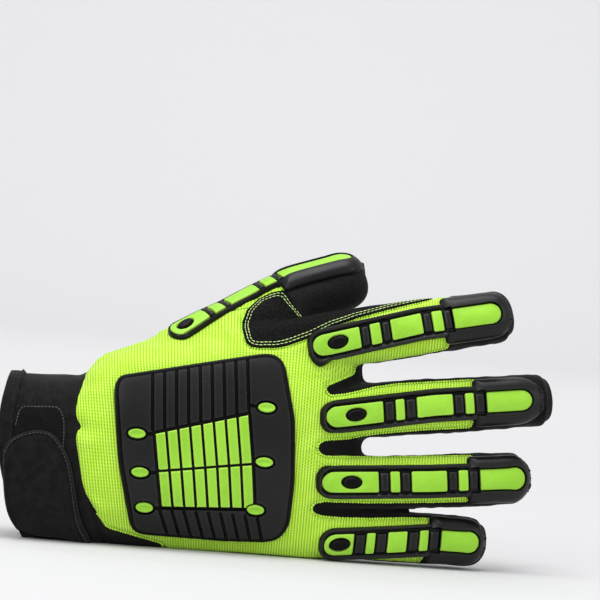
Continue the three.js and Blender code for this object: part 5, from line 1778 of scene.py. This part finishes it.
def build_strap():
    """The strap's tab over the cuff, folded under near the floor, and the stitches on it and on the patch."""
    left, right, under_z = STRAP_UNDER
    under_arc = arc_at(under_z, back=False)
    below = [(right, 0), (right, under_arc), (left, under_arc), (left, 0)]
    corners = rounded(round_cuff(STRAP) + below + round_cuff(STRAP_LEFT), 4.0, 3)

    def strap_outline(x, arc):
        return inside_polygon(corners, x, arc)

    def strap_height(x, arc):
        d = strap_outline(x, arc)
        tall = edge_round(d, STRAP_THICK, 1.0)
        fold = arc_at(np.interp(x, *zip(*STRAP_FOLD)))
        tall = tall - FOLD_DEPTH * np.exp(-((arc - fold) / 0.8) ** 2)
        for at, half, depth in STRAP_GROOVES:
            tall = tall - depth * np.exp(-((d - at) / half) ** 2)
        return tall + 0.3 * ease((d - 2) / 6) + 0.35 * np.exp(-((d - 0.9) / 0.45) ** 2)

    cuff_row("strap_stitches", round_cuff(STRAP), lambda x, arc: strap_height(x, arc) + 0.05, -1.3, 1.9,
             (1.7, 0.36, 0.3), 11)
    cuff_row("loop_patch_stitches", round_cuff(PATCH_SEWN), lambda x, arc: 1.5 + 0 * x, -0.9, 1.7,
             (1.5, 0.6, 0.45), 13)
    box = (-12, 36, under_arc - 1, arc_at(54))
    strap = moulded("wrist_strap_tab", NEOPRENE, "wrist_strap", box, 0.6, strap_outline,
                    strap_height, on_cuff, low=1.5, sharp=45)


build_bands()
build_loop_patch()
build_strap()


# Floor, light and camera
FLOOR_TO, FLOOR_CURVE, FLOOR_HALF, WALL_TOP = 2.6, 0.7, 3.0, 3.5  # metres


def build_floor():
    """Pale paper on the floor, curved up into the wall behind."""
    profile = [(-FLOOR_HALF, 0.0), (FLOOR_TO, 0.0)]
    for t in np.linspace(0.1, math.pi / 2, 12):
        profile.append((FLOOR_TO + FLOOR_CURVE * math.sin(t), FLOOR_CURVE - FLOOR_CURVE * math.cos(t)))
    profile.append((FLOOR_TO + FLOOR_CURVE, WALL_TOP))
    points = np.array([(x, y, z) for y, z in profile for x in (-FLOOR_HALF, FLOOR_HALF)])
    faces = [(2 * i, 2 * i + 1, 2 * i + 3, 2 * i + 2) for i in range(len(profile) - 1)]
    mesh = bpy.data.meshes.new("pale_floor")
    mesh.from_pydata([tuple(p) for p in points], [], faces)
    for polygon in mesh.polygons:
        polygon.use_smooth = True
    material, tree, shader = new_material("pale_paper_floor")
    fill(tree, shader, {"Base Color": linear("#d3d3d4"), "Roughness": 0.9, "Specular IOR Level": 0.1})
    mesh.materials.append(material)
    placed("pale_floor", mesh)


def build_light():
    world = bpy.data.worlds.new("soft_room")
    world.use_nodes = True
    tree = world.node_tree
    fill(tree, tree.nodes["Background"], {"Color": (0.985, 0.99, 1.0, 1.0), "Strength": 0.6})
    bpy.context.scene.world = world

    glove, wall = (0, 0, 0.08), (0, FLOOR_TO + FLOOR_CURVE, 0.6)
    lamps = (  # name, place, what it is turned to, size in metres, power in watts
        ("top_softbox", (-0.1, -0.25, 1.5), glove, 1.1, 17),
        ("front_softbox", (-0.9, -1.6, 0.9), glove, 1.0, 11),
        ("wall_softbox", (0, 1.6, 2.2), wall, 1.6, 37),
        ("side_softbox", (1.4, -0.7, 0.7), glove, 0.8, 3),
    )
    for name, at, target, size, power in lamps:
        data = bpy.data.lights.new(name, "AREA")
        data.shape, data.size, data.energy = "SQUARE", size, power
        made = placed(name, data)
        made.location = at
        made.rotation_euler = (Vector(target) - Vector(at)).to_track_quat("-Z", "Y").to_euler()


SENSOR, SEEN_WIDTH = 36.0, 0.2925  # mm, and metres across the picture at the glove


def build_camera():
    """A long lens straight before the hand's back, a little above it and rolled as the glove leans."""
    target = Vector((0.0068, -0.038, 0.1279))
    away, rise, roll = 2.2, math.radians(1.7), math.radians(4.7)
    forward = Vector((0, math.cos(rise), -math.sin(rise)))
    right = Vector((math.cos(roll), 0, math.sin(roll)))
    right = (right - forward * right.dot(forward)).normalized()
    up = right.cross(forward)
    data = bpy.data.cameras.new("photo_camera")
    data.sensor_width, data.lens = SENSOR, SENSOR * away / SEEN_WIDTH
    data.clip_start = 0.05
    camera = placed("photo_camera", data)
    turned = Matrix((right, up, -forward)).transposed().to_4x4()
    turned.translation = target - forward * away
    camera.matrix_world = turned
    bpy.context.scene.camera = camera


bpy.context.scene.view_settings.view_transform = "Standard"
build_floor()
build_light()
build_camera()
